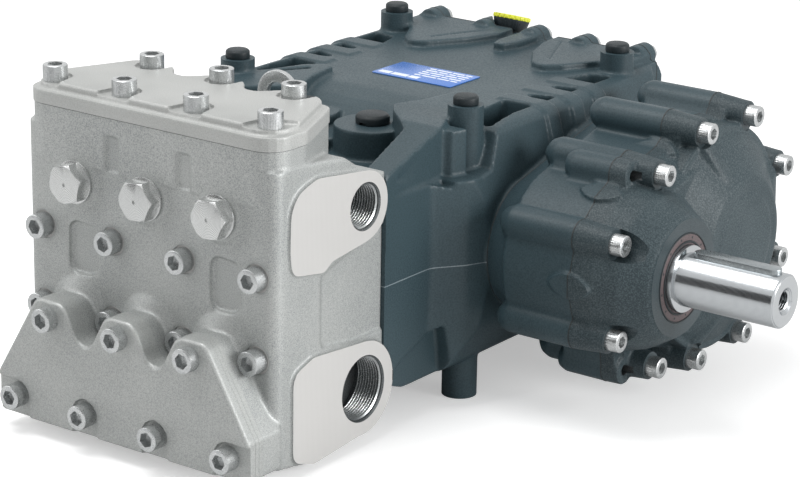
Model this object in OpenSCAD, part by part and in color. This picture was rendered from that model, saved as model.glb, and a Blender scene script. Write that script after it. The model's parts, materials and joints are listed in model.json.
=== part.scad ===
/* [Liquid end] */
// Distance between neighbouring plunger axes
plunger_pitch = 66; // [64:0.5:70]
// Number of plungers
plungers = 3; // [3:1:3]
// Width of the pump head casting between its side walls
head_width = 231; // [225:1:240]
// Depth of the pump head, screw seats to crankcase joint
head_depth = 123; // [118:1:130]
// Height that the front wall stands proud of the screw seats
wall_raise = 1.5; // [1:0.5:3]
// Height of the pump head's underside over the floor
head_bottom = 8; // [4:1:14]
// Height of the joint under the top cover
head_top = 241.5; // [236:0.5:250]
// Height of the row of valve plugs
plug_height = 189; // [184:0.5:194]
// Width across the flats of a valve plug
plug_across_flats = 27; // [22:1:32]
// Height of a valve plug's head
plug_head = 10; // [8:0.5:14]
// Thread radius of a valve plug
plug_thread_r = 10; // [8:0.5:11]

/* [Valve covers] */
// Thickness of the top cover's flange
top_flange = 10; // [7:0.5:14]
// Height of the raised middle of the top cover
top_raise = 6.5; // [4:0.5:10]
// Depth of the top cover, front to back
top_cover_depth = 97; // [94:1:102]
// Thickness of the suction cover
suction_cover = 16.5; // [12:0.5:20]
// Thickness of the head's flange behind the suction cover
suction_flange = 10; // [7:0.5:14]
// Depth of the seats that hold the cover screws
screw_seat = 3; // [2:0.5:4.5]
// Radius of the head of an M12 cap screw
screw_head_r = 9; // [7:0.5:10]

/* [Ports] */
// Wall radius of the discharge port
discharge_r = 16.6; // [14:0.1:18]
// Wall radius of the suction port
suction_r = 23.9; // [20:0.1:26]
// Depth of the thread in both ports
port_thread = 26; // [20:1:34]
// Height of the discharge port
discharge_height = 182.3; // [178:0.1:188]
// Height of the suction port
suction_height = 45; // [42:0.5:48]
// Height that the machined port pads stand out of the head
pad_raise = 2.5; // [1.5:0.5:5]

/* [Crankcase] */
// Distance between the mounting columns, side to side
column_span_x = 218; // [212:1:226]
// Distance between the mounting columns, front to back
column_span_y = 210; // [204:1:216]
// Radius of a mounting column
column_r = 13.5; // [12:0.5:16]
// Height of the mounting columns
column_height = 228; // [222:1:236]
// Radius of the bolt hole through a mounting column
column_hole_r = 6.6; // [5:0.1:8]
// Width of the crankcase behind the pump head
case_width = 234; // [230:1:240]
// Width of the crankcase over its crankshaft bearings
bearing_width = 286; // [280:1:294]
// Height of the flat top of the crankcase
case_top = 212; // [208:1:218]
// Height that the shoulders and humps stand over the flat top
shoulder_raise = 6; // [4:0.5:9]
// Height of the recess floor behind the pump head
recess_floor = 180; // [174:1:186]
// Height of the crankcase's underside over the floor
case_bottom = 27; // [22:1:36]
// Depth of the crankcase, pump head joint to rear cover joint
case_depth = 363; // [356:1:372]
// Thickness of the rear cover
rear_cover_t = 10; // [7:1:14]

/* [Gearbox] */
// Height of the crankshaft and of the input shaft
shaft_height = 120; // [116:1:124]
// Distance between the input shaft and the crankshaft
gear_centres = 100; // [98:1:106]
// Distance of the crankshaft behind the middle of the columns
crank_y = 29; // [26:1:32]
// Depth of the gearbox housing that stands on the crankcase
housing_depth = 81; // [78:1:88]
// Thickness of the gearbox cover, joint to screw seats
cover_depth = 28; // [25:1:31]
// Radius of the gearbox round the large gear
gear_case_r = 88; // [86:1:90]
// Radius of the gearbox round the input pinion
pinion_case_r = 64; // [62:1:66]
// Radius of a screw boss at the gearbox joint
gear_boss_r = 12.9; // [12:0.1:13.5]
// Radius of a screw boss at the screw's head
gear_seat_r = 10.5; // [9:0.5:11.5]
// Radius of the two dowel bosses
dowel_boss_r = 11.5; // [10:0.5:12.5]
// Height that the lens shaped lugs stand out of the gearbox
lug_raise = 2.8; // [2:0.2:4]
// Radius of the crankshaft's bearing cover on the other side
bearing_cover_r = 52; // [48:1:58]

/* [Input shaft] */
// Radius of the input shaft's free end
shaft_r = 20; // [16:0.5:22]
// Length of the input shaft's free end
shaft_free = 80; // [60:1:100]
// Radius of the shaft where the seal runs
seal_seat_r = 25; // [24:0.5:28]
// Outer radius of the shaft seal
seal_r = 34; // [32:0.5:38]
// Thickness of the shaft seal
seal_t = 8; // [6:0.5:10]
// Radial clearance of the shaft in the cover and seal
running_gap = 0.05; // [0.03:0.01:0.08]
// Width of the shaft key
key_w = 12; // [10:0.5:14]
// Height of the shaft key
key_h = 8; // [6:0.5:9]
// Length of the shaft key
key_length = 70; // [50:1:74]
// Radius of the tapped hole in the shaft's end
end_thread_r = 8; // [5:0.5:10]
// Depth of the tapped hole in the shaft's end
end_thread_depth = 32; // [20:1:40]

/* [Hidden] */
$fn = 48;
head_back = -213;
head_front = head_back - head_depth;
wall_y = head_front - wall_raise;
boss_y = wall_y - 2;
side = head_width/2;
pad_x = side + pad_raise;
washer_t = 2;
case_side = case_width/2;
barrel = bearing_width/2;
gear_x0 = barrel;
gear_x1 = gear_x0 + housing_depth;
gear_x2 = gear_x1 + cover_depth;
pinion_y = crank_y - gear_centres;
seal_face = gear_x2 + 29;
shaft_step = seal_face + 4;
shaft_end = shaft_step + shaft_free;
rear_face = head_back + case_depth;
shoulder_z = case_top + shoulder_raise;
parting_z = 115;
front_column_y = -column_span_y/2;
web_x = column_span_x/2 - 6;
neck = 15;
dowel_hole_r = 4;
cast_paint = "#4A5459";
head_metal = "#A9AEB0";
screw_metal = "#B8BABB";

// Corner rounding: each point is [x, y, radius]
function unit(v) = v/norm(v);
function xy(p) = [p[0], p[1]];
function corner(a, p, b, r, n) = r <= 0 ? [p] : let(
    u = unit(a - p), v = unit(b - p), half = acos(u*v)/2,
    c = p + unit(u + v)*r/sin(half),
    s = p + u*r/tan(half) - c, e = p + v*r/tan(half) - c,
    start = atan2(s.y, s.x), turn = atan2(s.x*e.y - s.y*e.x, s*e))
    [for (i = [0:n]) c + r*[cos(start + turn*i/n), sin(start + turn*i/n)]];
function rounded(pts, n = 5) = let(k = len(pts)) [for (i = [0:k - 1])
    each corner(xy(pts[(i + k - 1) % k]), xy(pts[i]), xy(pts[(i + 1) % k]), pts[i][2], n)];
function mirrored(pts) = concat(pts, [for (i = [len(pts) - 1:-1:0]) [-pts[i][0], pts[i][1], pts[i][2]]]);

// Extrusions and rods along each axis
module along_x(x0, x1) translate([x0, 0, 0]) rotate([90, 0, 90]) linear_extrude(x1 - x0) children();
module along_y(y0, y1) translate([0, y1, 0]) rotate([90, 0, 0]) linear_extrude(y1 - y0) children();
module along_z(z0, z1) translate([0, 0, z0]) linear_extrude(z1 - z0) children();
module rod_x(x0, x1, y, z, r) translate([x0, y, z]) rotate([0, 90, 0]) cylinder(r = r, h = x1 - x0);
module rod_y(y0, y1, x, z, r) translate([x, y1, z]) rotate([90, 0, 0]) cylinder(r = r, h = y1 - y0);
module rod_z(z0, z1, x, y, r) translate([x, y, z0]) cylinder(r = r, h = z1 - z0);
module both_sides() {
    children();
    mirror([1, 0, 0]) children();
}
// Two circles and the band between their outer tangents
module belt(a, ra, b, rb) {
    d = b - a;
    lean = asin((ra - rb)/norm(d));
    way = atan2(d.y, d.x);
    t = [for (s = [1, -1]) [cos(way + s*(90 - lean)), sin(way + s*(90 - lean))]];
    translate(a) circle(ra);
    translate(b) circle(rb);
    polygon([a + ra*t[0], b + rb*t[0], b + rb*t[1], a + ra*t[1]]);
}

// Screw and plunger places
function head_screw_x(k) = (k - 1.5)*plunger_pitch;
function plunger_x(k) = (k - 1)*plunger_pitch;
top_screw_front = head_front + 13.6;
top_screw_back = head_front + 80.7;
suction_screw_low = head_bottom + 19.8;
suction_screw_high = head_bottom + 85.9;
head_screw_high = head_bottom + 142.4;
head_screw_low = head_bottom + 82.7;

// Top cover: straight in front, with a lobe round each screw at the back
module top_outline(inset) {
    front = boss_y + inset;
    back = boss_y + top_cover_depth - inset;
    valley = back - 24;
    lobe = 14;
    polygon(rounded(mirrored([[side - inset, front, 18], [side - inset, back - 60, 14],
        [plunger_pitch + lobe + 10 - inset, back, 12], [plunger_pitch - lobe, back, 10],
        [plunger_pitch/2, valley, 12], [lobe, back, 10]])));
}
module screw_pocket(x, y, out) {
    translate([x, y]) circle(screw_head_r + 3);
    polygon([[x - screw_head_r - 3, y], [x + screw_head_r + 3, y],
        [x + screw_head_r + 8, y + out], [x - screw_head_r - 8, y + out]]);
}
module top_valve_cover() color(head_metal) {
    flange_z = head_top + top_flange;
    top_z = flange_z + top_raise;
    difference() {
        union() {
            along_z(head_top, flange_z) top_outline(0);
            along_z(flange_z, top_z - 1.5) top_outline(4);
            along_z(top_z - 1.5, top_z) top_outline(5);
        }
        along_z(top_z - screw_seat, top_z + 1) {
            for (k = [0:3]) screw_pocket(head_screw_x(k), top_screw_front, -24);
            for (k = [0:2]) screw_pocket(plunger_x(k), top_screw_back, 24);
            for (s = [-1, 1]) polygon([[s*1.5*plunger_pitch, top_screw_front + 9],
                [s*(side + 2), top_screw_front + 21], [s*(side + 2), top_screw_front - 24],
                [s*1.5*plunger_pitch, top_screw_front - 24]]);
        }
    }
}

// Suction cover: three lobes over a straight foot
lobe_r = 13;
suction_bottom = head_bottom + 3.5;
suction_joint = wall_y - 16;
suction_face = suction_joint - suction_cover;
flange_back = suction_joint + suction_flange;
module suction_outline(inset) {
    top = suction_screw_high + lobe_r - inset;
    valley = suction_screw_high - 26 - inset;
    shoulder = head_bottom + 34;
    polygon(rounded(mirrored([[lobe_r - inset, top, 12], [plunger_pitch/2, valley, 10],
        [plunger_pitch - lobe_r + inset, top, 12], [plunger_pitch + lobe_r - inset, top, 10],
        [side + 2.5 - inset, shoulder, 5], [side + 2.5 - inset, suction_bottom + inset, 4]])));
}
module suction_valve_cover() color(head_metal) difference() {
    union() {
        along_y(suction_face + 1.5, suction_joint) suction_outline(0);
        along_y(suction_face, suction_face + 1.5) suction_outline(1.2);
    }
    along_y(suction_face - 1, suction_face + screw_seat) for (k = [0:3]) {
        x = head_screw_x(k);
        translate([x, suction_screw_low]) circle(screw_head_r + 2.5);
        translate([x - screw_head_r - 2.5, suction_bottom - 1])
            square([2*screw_head_r + 5, suction_screw_low - suction_bottom + 1]);
    }
    along_y(suction_face - 1, suction_face + screw_seat) for (s = [-1, 1])
        translate([s*(head_screw_x(3) + 10), suction_screw_low - 4]) square([22, 31], center = true);
}

// Pump head
port_y = head_back - 26;
discharge_boss = discharge_r + 9.4;
suction_boss = suction_r + 11.6;
module discharge_pad() {
    front = port_y - 84;
    z = discharge_height;
    polygon(rounded([[front - 1, z - 13, 12], [front, z + 25, 22], [port_y - 55, z + 33, 16],
        [port_y + 4, z + discharge_boss, 0], [port_y + 4, z - discharge_boss, 0], [port_y - 38, z - 31, 10],
        [port_y - 47, z - 37, 6], [front + 1, z - 31, 10]]));
    translate([port_y, z]) circle(discharge_boss);
}
module suction_pad() {
    front = port_y - 81;
    z = suction_height;
    polygon(rounded([[front, z - 32, 10], [front, z + 33, 12], [port_y - 58, z + 40.5, 10],
        [port_y + 4, z + suction_boss, 0], [port_y + 4, z - suction_boss + 1, 0], [port_y - 57, z - 40, 8]]));
    translate([port_y, z]) circle(suction_boss);
}
module head_section() polygon(rounded([[wall_y, head_bottom + 3, 5], [wall_y, head_top - 14, 2],
    [head_front + 46, head_top - 15, 8], [head_front + 76, head_top - 19, 10],
    [head_back - 26, discharge_height + 27, 10], [head_back - 10, discharge_height + 20, 6],
    [head_back, discharge_height + 20, 0], [head_back, head_bottom + 7, 0],
        [head_back - 16, head_bottom + 5, 6],
    [port_y - 57, head_bottom - 2.5, 8]]));
module head_body() {
    intersection() {
        along_x(-side, side) head_section();
        along_z(0, head_top) polygon(rounded(mirrored([[side, wall_y, 9], [side, head_back, 0]])));
    }
    along_z(head_top - 40, head_top) top_outline(0.5);
    along_y(suction_joint, wall_y + 5) suction_outline(0.5);
    for (k = [0:2]) {
        translate([plunger_x(k), flange_back, suction_screw_high]) rotate([-90, 0, 0])
            cylinder(r1 = lobe_r, r2 = lobe_r + 13, h = wall_y - flange_back + 0.5);
        translate([plunger_x(k), wall_y + 1, plug_height]) rotate([90, 0, 0])
            cylinder(r1 = plug_across_flats/2 + 9, r2 = plug_across_flats/2 + 4.5, h = wall_y + 1 - boss_y);
    }
    both_sides() {
        along_x(side - 6, pad_x) discharge_pad();
        along_x(side - 34, pad_x) suction_pad();
    }
}
module manifold() color(head_metal) difference() {
    head_body();
    both_sides() {
        rod_x(pad_x - port_thread, pad_x + 1, port_y, discharge_height, discharge_r);
        rod_x(pad_x - port_thread, pad_x + 1, port_y, suction_height, suction_r);
        along_x(side - 2, side + 1) polygon(rounded([[port_y - 47, suction_height + 43, 6],
            [port_y - 47, discharge_height - 40, 4], [head_back + 1, discharge_height - 18, 2],
            [head_back + 1, suction_height + 38, 2], [port_y - 10, suction_height + 38, 6]]));
    }
    for (k = [0:2]) rod_y(boss_y - 1, boss_y + 28, plunger_x(k), plug_height, plug_thread_r);
    for (k = [0:3], z = [head_screw_high, head_screw_low])
        rod_y(flange_back, head_front, head_screw_x(k), z, screw_head_r + 1.5);
    // Cored hollows in the front wall
    along_y(wall_y - 3, wall_y + 4) for (k = [0, 2]) {
        x = plunger_x(k) + 5;
        z = head_screw_high - 11;
        polygon(rounded([[x - 14, z - 20, 8], [x - 14, z + 20, 8], [x + 14, z + 18, 9],
            [x + 14, z - 20, 10]]));
    }
    along_y(wall_y - 3, wall_y + 1.5) for (k = [0:1])
        translate([(k - 0.5)*plunger_pitch - 5, plug_height + 12])
            square([13, head_top - plug_height - 25.5]);
}

// Valve plugs, each tightened to its own angle
plug_turn = [17, 5, 3];
module valve_plug(k) color("#C3C5C6") {
    translate([plunger_x(k), boss_y - washer_t, plug_height]) rotate([90, 0, 0]) intersection() {
        rotate([0, 0, plug_turn[k]]) cylinder(r = plug_across_flats/sqrt(3), h = plug_head, $fn = 6);
        cylinder(r1 = plug_across_flats/2 + 12, r2 = plug_across_flats/2 + 0.3, h = plug_head);
    }
    rod_y(boss_y - washer_t - 0.5, boss_y + 26, plunger_x(k), plug_height, plug_thread_r - 0.1);
}
module plug_washer(k) color(screw_metal) difference() {
    rod_y(boss_y - washer_t, boss_y, plunger_x(k), plug_height, plug_across_flats/2 + 2.5);
    rod_y(boss_y - washer_t - 1, boss_y + 1, plunger_x(k), plug_height, plug_thread_r + 0.2);
}
module port_plug(r, z) color("#8F9496") {
    rod_x(-pad_x - 8, -pad_x, port_y, z, r + 4);
    rod_x(-pad_x - 1, -pad_x + port_thread - 4, port_y, z, r - 0.1);
    translate([-pad_x - 17, port_y, z]) rotate([0, 90, 0]) cylinder(r = r*0.8, h = 9.5, $fn = 6);
}

// Crankcase outlines: from above, from the end and from the side
well_x = plunger_pitch/2;
well_y = head_back + 94;
well_r = 29;
well_top = case_top - 9;
cover_screw_r = 10;
module case_plan() polygon(rounded(mirrored([[case_side - 0.5, head_back, 0],
    [case_side - 0.5, head_back + 56, 14],
    [case_side + 16, head_back + 78, 26], [barrel, head_back + 100, 30], [barrel, rear_face - 34, 26],
    [case_side + 4, rear_face - 12, 10], [case_side + 2, rear_face, 0]])));
module case_end() polygon(rounded(mirrored([[barrel - 25, case_top, 3], [barrel - 15, case_top - 3, 9],
    [barrel - 4, case_top - 48, 60], [barrel, parting_z, 60], [barrel - 5, case_bottom + 34, 40],
    [barrel - 22, case_bottom + 3, 20], [barrel - 40, case_bottom, 20]])));
module case_profile() polygon(rounded([[head_back, case_bottom + 12, 0],
    [head_back + 28, case_bottom + 2, 10],
    [head_back + 60, case_bottom, 20], [rear_face, case_bottom, 0], [rear_face, case_top, 0],
    [head_back + 150, case_top, 60], [well_y, well_top, 40], [well_y, recess_floor, 0],
        [head_back, recess_floor, 0]]));
module shoulder_profile() polygon(rounded([[head_back, recess_floor - 40, 0],
    [head_back, recess_floor + 18, 4],
    [head_back + 72, shoulder_z, 12], [head_back + 180, shoulder_z, 8], [head_back + 184, case_top - 12, 0],
    [head_back + 184, recess_floor - 40, 0]]));
// Shoulder round each front column, which runs forward as an arm to the pump head
module shoulder_plan() polygon(rounded([[case_side, head_back, 0], [case_side - 21, head_back, 0],
    [case_side - 31, head_back + 62, 10], [54, head_back + 92, 10], [44, head_back + 106, 4],
    [54, head_back + 132, 30], [61, head_back + 176, 7], [82, head_back + 158, 14],
    [94, head_back + 126, 8], [web_x, head_back + 112, 2], [web_x, head_back + 96, 2],
    [case_side - 5, head_back + 74, 6]]));
// Hollow beside each front column, so that it stands free down to the flank
module column_relief() along_x(web_x, barrel + 1) polygon([[front_column_y - 17, recess_floor - 0.5],
    [front_column_y - 1, recess_floor + 2], [front_column_y + 14, shoulder_z - 11],
    [front_column_y + 14, shoulder_z + 20], [front_column_y - 17, shoulder_z + 20]]);
module rear_hump() polygon(rounded([[64, 61, 8], [52, 68, 8], [33, 98, 14], [22, 130, 12], [22, rear_face, 0],
    [case_side - 4, rear_face, 0], [case_side - 4, 118, 8], [92, 100, 8], [78, 74, 8]]));
// Hollows between the top plate and the side rails, parted by the arms
arm_y = [-19, 15, 48];
arm_w = 16;
module side_hollows() {
    inner = barrel - 53;
    rail = barrel - 27;
    for (i = [0:1]) {
        a = arm_y[i] + arm_w/2;
        b = arm_y[i + 1] - arm_w/2;
        polygon(rounded([[inner, (a + b)/2, 3], [rail, a, 3], [rail, b, 3]]));
    }
    polygon(rounded([[inner, arm_y[0] - 9, 3], [rail, arm_y[0] - arm_w/2, 3], [rail + 2, -86, 3],
        [97, -84, 6],
        [inner + 2, -52, 10]]));
    polygon(rounded([[inner, arm_y[2] + 10, 3], [rail, arm_y[2] + arm_w/2, 3], [rail, 88, 3], [96, 84, 6]]));
}
module arm(y) {
    z = case_top;
    along_y(y - arm_w/2, y + arm_w/2) polygon(rounded([[barrel - 59, z - 4, 0], [barrel - 59, z + 1.5, 1],
        [barrel - 24, z + 1.5, 8], [barrel - 13, z - 2, 12], [barrel - 5, z - 30, 8], [barrel - 9, z - 32, 0],
        [barrel - 26, z - 14, 8]]));
}
module columns(z0, z1, r) for (x = [-1, 1], y = [-1, 1])
    rod_z(z0, z1, x*column_span_x/2, y*column_span_y/2, r);
rear_bosses = [[0, case_top + 1], [48, case_top + 1], [102, case_top + 2], [case_side + 1, 150],
    [case_side + 1, 66],
    [60, case_bottom + 4], [102, case_bottom + 12]];
module rear_flange(y0, y1) {
    along_y(y0, y1) polygon(rounded(mirrored([[case_side + 2, case_bottom, 14],
        [case_side + 2, case_top - 8, 14],
        [case_side - 12, case_top + 2, 8], [0, case_top + 1, 0]])));
    for (b = rear_bosses, s = [-1, 1]) rod_y(y0, y1, s*b[0], b[1], cover_screw_r);
}
module crankcase_form() {
    intersection() {
        along_z(0, column_height) case_plan();
        along_y(head_back, rear_face) case_end();
        along_x(-barrel - 1, barrel + 1) case_profile();
    }
    for (s = [-1, 1]) rod_z(recess_floor - 30, well_top, s*well_x, well_y, well_r);
    both_sides() intersection() {
        along_z(recess_floor - 40, shoulder_z) shoulder_plan();
        along_x(0, barrel) shoulder_profile();
    }
    both_sides() along_z(case_top - 20, shoulder_z) rear_hump();
    both_sides() for (y = arm_y) arm(y);
    along_z(case_top - 20, shoulder_z + 1) polygon(rounded(mirrored([[5, 96, 4], [9, 112, 6],
        [9, rear_face, 0]])));
    // Web up the front of each front column
    both_sides() along_z(case_bottom + 20, shoulder_z - 3) polygon([[web_x - 6, front_column_y - 38],
        [case_side + 2, front_column_y - 30], [case_side + 6, front_column_y - 16],
        [column_span_x/2, front_column_y]]);
    // Ramp between the two wells
    along_x(-6, 6) polygon([[head_back + 62, recess_floor - 5], [head_back + 62, recess_floor + 4],
        [well_y - 4, recess_floor + 14], [well_y + 4, recess_floor + 14], [well_y + 4, recess_floor - 5]]);
    rear_flange(rear_face - 9, rear_face);
    // Pads under the gearbox and under the bearing cover
    along_x(gear_x0 - 50, gear_x0) gear_outline(-neck - 2);
    rod_x(gear_x0 - 50, gear_x0, crank_y, shaft_height, gear_case_r - neck - 1);
    rod_x(gear_x0 - 50, gear_x0, pinion_y, shaft_height, pinion_case_r - neck - 1);
    rod_x(-gear_x0, 50 - gear_x0, crank_y, shaft_height, bearing_cover_r + 4);
}
module crankcase() color(cast_paint) difference() {
    union() {
        difference() {
            crankcase_form();
            both_sides() column_relief();
        }
        columns(0, column_height, column_r);
    }
    both_sides() {
        along_z(recess_floor, case_top + 20) side_hollows();
        rod_x(side - 36, barrel, port_y, suction_height, suction_boss + 1.5);
        // Flats beside the front columns, above and under the flank
        along_x(case_side - 2.5, barrel) polygon([[head_back + 10, recess_floor + 12],
            [head_back + 70, recess_floor - 5], [head_back + 74, recess_floor + 36]]);
        along_x(case_side - 3, barrel) polygon([[head_back + 16, case_bottom + 22],
            [head_back + 66, case_bottom + 42],
            [head_back + 72, case_bottom - 4], [head_back, case_bottom - 4]]);
        // Slot in each shoulder and groove in each hump
        translate([78, head_back + 142, shoulder_z - 7]) rotate([0, 0, -58]) translate([-12, -3, 0])
            cube([24, 6, 20]);
        translate([46, 112, shoulder_z - 1.5]) rotate([0, 0, 114]) translate([-32, -1.5, 0])
            cube([62, 3, 20]);
    }
    columns(-1, max(column_height, shoulder_z + 20), column_hole_r);
}
// Hollow cap over each bolt hole, open below so that a long stud can reach into it
module column_cap(k) color("#2B3032") {
    x = (k % 2 == 0 ? -1 : 1)*column_span_x/2;
    y = (k < 2 ? -1 : 1)*column_span_y/2;
    difference() {
        union() {
            rod_z(column_height, column_height + 5.5, x, y, column_hole_r + 2.9);
            translate([x, y, column_height + 5.5])
                cylinder(r1 = column_hole_r + 2.9, r2 = column_hole_r + 1.4, h = 1.5);
        }
        rod_z(column_height - 1, column_height + 4, x, y, column_hole_r + 0.9);
    }
}
plate_w = 76;
plate_d = 42;
plate_y = -4;
module nameplate() color("#3F63B8") along_z(case_top, case_top + 0.8) polygon(rounded(mirrored(
    [[plate_w/2, plate_y - plate_d/2, 1.5], [plate_w/2, plate_y + plate_d/2, 1.5]])));
module wet_end_cover(k) color("#2B3032") {
    x = (k == 0 ? -1 : 1)*well_x;
    rod_z(well_top, well_top + 5.5, x, well_y + 1, 13);
    translate([x, well_y + 1, well_top + 5.5]) cylinder(r1 = 13, r2 = 11, h = 2);
}
eye_y = head_back + 23;
eye_z = case_top + 22;
eye_t = 5;
module lifting_eye() color(screw_metal) difference() {
    union() {
        rod_y(eye_y - eye_t/2, eye_y + eye_t/2, 0, eye_z, 18.5);
        translate([-11, eye_y - eye_t/2, recess_floor + eye_t - 1])
            cube([22, eye_t, eye_z - recess_floor - 14]);
        translate([-11, eye_y - eye_t/2, recess_floor]) cube([22, 24, eye_t]);
    }
    rod_y(eye_y - eye_t, eye_y + eye_t, 0, eye_z, 9.5);
}

// Rear cover with the oil filler, sight glass and drain plug
filler_x = -36;
filler_lean = 17;
module filler_place() translate([filler_x, rear_face + rear_cover_t + 4, case_top - 9])
    rotate([-filler_lean, 0, 0])
    children();
module rear_cover() color(cast_paint) difference() {
    union() {
        rear_flange(rear_face, rear_face + rear_cover_t);
        for (x = [-64, -21, 21, 64]) translate([x - 3, rear_face + rear_cover_t - 1, case_bottom + 24])
            cube([6, 3.5, case_top - case_bottom - 60]);
        rod_y(rear_face, rear_face + rear_cover_t + 3, 0, 100, 34);
        rod_y(rear_face, rear_face + rear_cover_t + 3, 0, case_bottom + 22, 15);
        filler_place() translate([0, 0, -34]) cylinder(r = 15, h = 34);
    }
    translate([-200, rear_face - 60, 0]) cube([400, 60, 300]);
    filler_place() cylinder(r = 16.5, h = 40);
}
module side_bearing_cover() color(cast_paint) {
    rod_x(-gear_x0 - 8, -gear_x0, crank_y, shaft_height, bearing_cover_r);
    rod_x(-gear_x0 - 13, -gear_x0 - 8, crank_y, shaft_height, bearing_cover_r - 18);
}
module oil_filler() color("#1E2122") filler_place() {
    cylinder(r = 11, h = 9);
    translate([0, 0, 9]) cylinder(r1 = 13, r2 = 15.5, h = 9);
}
module oil_filler_cap() color("#DDE24A") filler_place() translate([0, 0, 18]) cylinder(r = 16, h = 3.5);
module oil_sight_glass() color("#C8B070")
    rod_y(rear_face + rear_cover_t + 3, rear_face + rear_cover_t + 8, 0, 100, 19);
module oil_drain_plug() color("#8F9496")
    rod_y(rear_face + rear_cover_t + 3, rear_face + rear_cover_t + 11, 0, case_bottom + 22, 10);

// Gearbox: each screw as [distance behind the crankshaft, height over it, depth of its twin below it]
gear_screws = [[-gear_centres - 50.5, 32.5, 39.9], [-gear_centres + 8, 71.3, 76.8], [-33, 90.2, 87.3],
    [36, 89, 84.7], [88, 38.7, 36]];
dowels = [[-gear_centres - 5, 70], [-gear_centres - 5, -80]];
gear_places = concat([for (p = gear_screws) [p[0], p[1]]], [for (p = gear_screws) [p[0], -p[2]]]);
dome_face = gear_x2 + 23;
module at_gear(p) translate([crank_y + p[0], shaft_height + p[1]]) children();
module gear_rod(x0, x1, p, r0, r1) translate([x0, crank_y + p[0], shaft_height + p[1]]) rotate([0, 90, 0])
    cylinder(r1 = r0, r2 = r1, h = x1 - x0);
module gear_outline(grow = 0)
    belt([crank_y, shaft_height], gear_case_r + grow, [pinion_y, shaft_height], pinion_case_r + grow);
// Web that widens from a boss towards the shaft behind it
module boss_web(p, r) {
    c = [p[0] < -gear_centres/2 - 10 ? -gear_centres : 0, 0];
    u = unit(p - c);
    v = [-u.y, u.x]*(r - 0.5);
    at_gear([0, 0]) polygon([c + 2.6*v, p + v, p - v, c - 2.6*v]);
}
// Lugs across the joint: [axis, distance from it, angle]
lugs = [[pinion_y, pinion_case_r, 113], [pinion_y, pinion_case_r, 181.5],
    [crank_y, gear_case_r + 3, 124.5], [crank_y, gear_case_r, 87]];
module gear_lugs(x0, x1) intersection() {
    for (l = lugs) translate([gear_x1, l[0], shaft_height]) rotate([l[2], 0, 0])
        along_y(l[1] - 8, l[1] + lug_raise) intersection() {
            translate([0, 11.2]) circle(21.2);
            translate([0, -11.2]) circle(21.2);
        }
    translate([x0, -300, 0]) cube([x1 - x0, 600, 400]);
}
module gearbox_housing() color(cast_paint) union() {
    hull() {
        along_x(gear_x0, gear_x0 + 1) gear_outline(-neck);
        along_x(gear_x0 + 22, gear_x0 + 23) gear_outline(-2);
    }
    along_x(gear_x0 + 22, gear_x1) gear_outline();
    for (p = gear_places) {
        gear_rod(gear_x0 + 24, gear_x1, p, gear_boss_r, gear_boss_r);
        gear_rod(gear_x0 + 18, gear_x0 + 24, p, gear_boss_r - 2.5, gear_boss_r);
        gear_rod(gear_x0 + 13, gear_x0 + 18, p, gear_boss_r - 8, gear_boss_r - 2.5);
        along_x(gear_x0 + 26, gear_x1) boss_web(p, gear_boss_r);
    }
    for (p = dowels) {
        gear_rod(gear_x1 - 34, gear_x1, p, dowel_boss_r, dowel_boss_r);
        gear_rod(gear_x1 - 40, gear_x1 - 34, p, dowel_boss_r - 2.5, dowel_boss_r);
        along_x(gear_x1 - 34, gear_x1) boss_web(p, dowel_boss_r);
    }
    gear_lugs(gear_x0, gear_x1);
}
// Domes over the large gear and over the pinion
module crank_dome() translate([0, crank_y, shaft_height]) rotate([0, 90, 0]) rotate_extrude()
    polygon(rounded([[0, gear_x1 + 5, 0], [gear_case_r - 0.5, gear_x1 + 5, 0],
        [gear_case_r - 0.5, gear_x2, 1.5],
        [gear_case_r - 6, gear_x2, 4], [50, dome_face, 7], [39, dome_face, 0], [38, dome_face + 1, 0],
        [0, dome_face + 1, 0]], 4));
module pinion_dome() translate([0, pinion_y, shaft_height]) rotate([0, 90, 0]) rotate_extrude()
    polygon(rounded([[0, gear_x1 + 5, 0], [pinion_case_r - 0.5, gear_x1 + 5, 0],
        [pinion_case_r - 0.5, gear_x1 + 16, 8],
        [pinion_case_r - 6, gear_x2 + 7, 9], [seal_r + 12, seal_face - 2, 3], [seal_r + 10, seal_face - 1, 0],
        [seal_r + 10, seal_face, 0], [0, seal_face, 0]], 4));
module gearbox_cover() color("#4F5557") difference() {
    union() {
        along_x(gear_x1, gear_x1 + 10) gear_outline();
        hull() {
            along_x(gear_x1 + 9, gear_x1 + 10) gear_outline();
            along_x(gear_x2 + 3, gear_x2 + 4) gear_outline(-16);
        }
        crank_dome();
        pinion_dome();
        for (p = gear_places) {
            gear_rod(gear_x1, gear_x2, p, gear_boss_r, gear_seat_r);
            along_x(gear_x1, gear_x1 + 15) boss_web(p, gear_boss_r);
        }
        for (p = dowels) {
            gear_rod(gear_x1, gear_x1 + 14, p, dowel_boss_r, dowel_boss_r - 0.5);
            along_x(gear_x1, gear_x1 + 12) boss_web(p, dowel_boss_r);
        }
        // Ribs from the screws up to the dome over the large gear
        for (k = [2, 4], s = [-1, 1]) hull() {
            p = [gear_screws[k][0], s*gear_screws[k][s > 0 ? 1 : 2]];
            gear_rod(gear_x1 + 14, gear_x2 - 2, p*0.88, 9, 8.5);
            gear_rod(gear_x1 + 14, dome_face - 4, p*0.5, 9.5, 8.5);
        }
        gear_lugs(gear_x1, gear_x2);
    }
    for (p = dowels) gear_rod(gear_x1 + 2, gear_x1 + 15, p, dowel_hole_r, dowel_hole_r);
    rod_x(seal_face - seal_t, seal_face + 1, pinion_y, shaft_height, seal_r);
    rod_x(gear_x1 + 6, seal_face + 1, pinion_y, shaft_height, seal_seat_r + running_gap);
}
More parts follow.
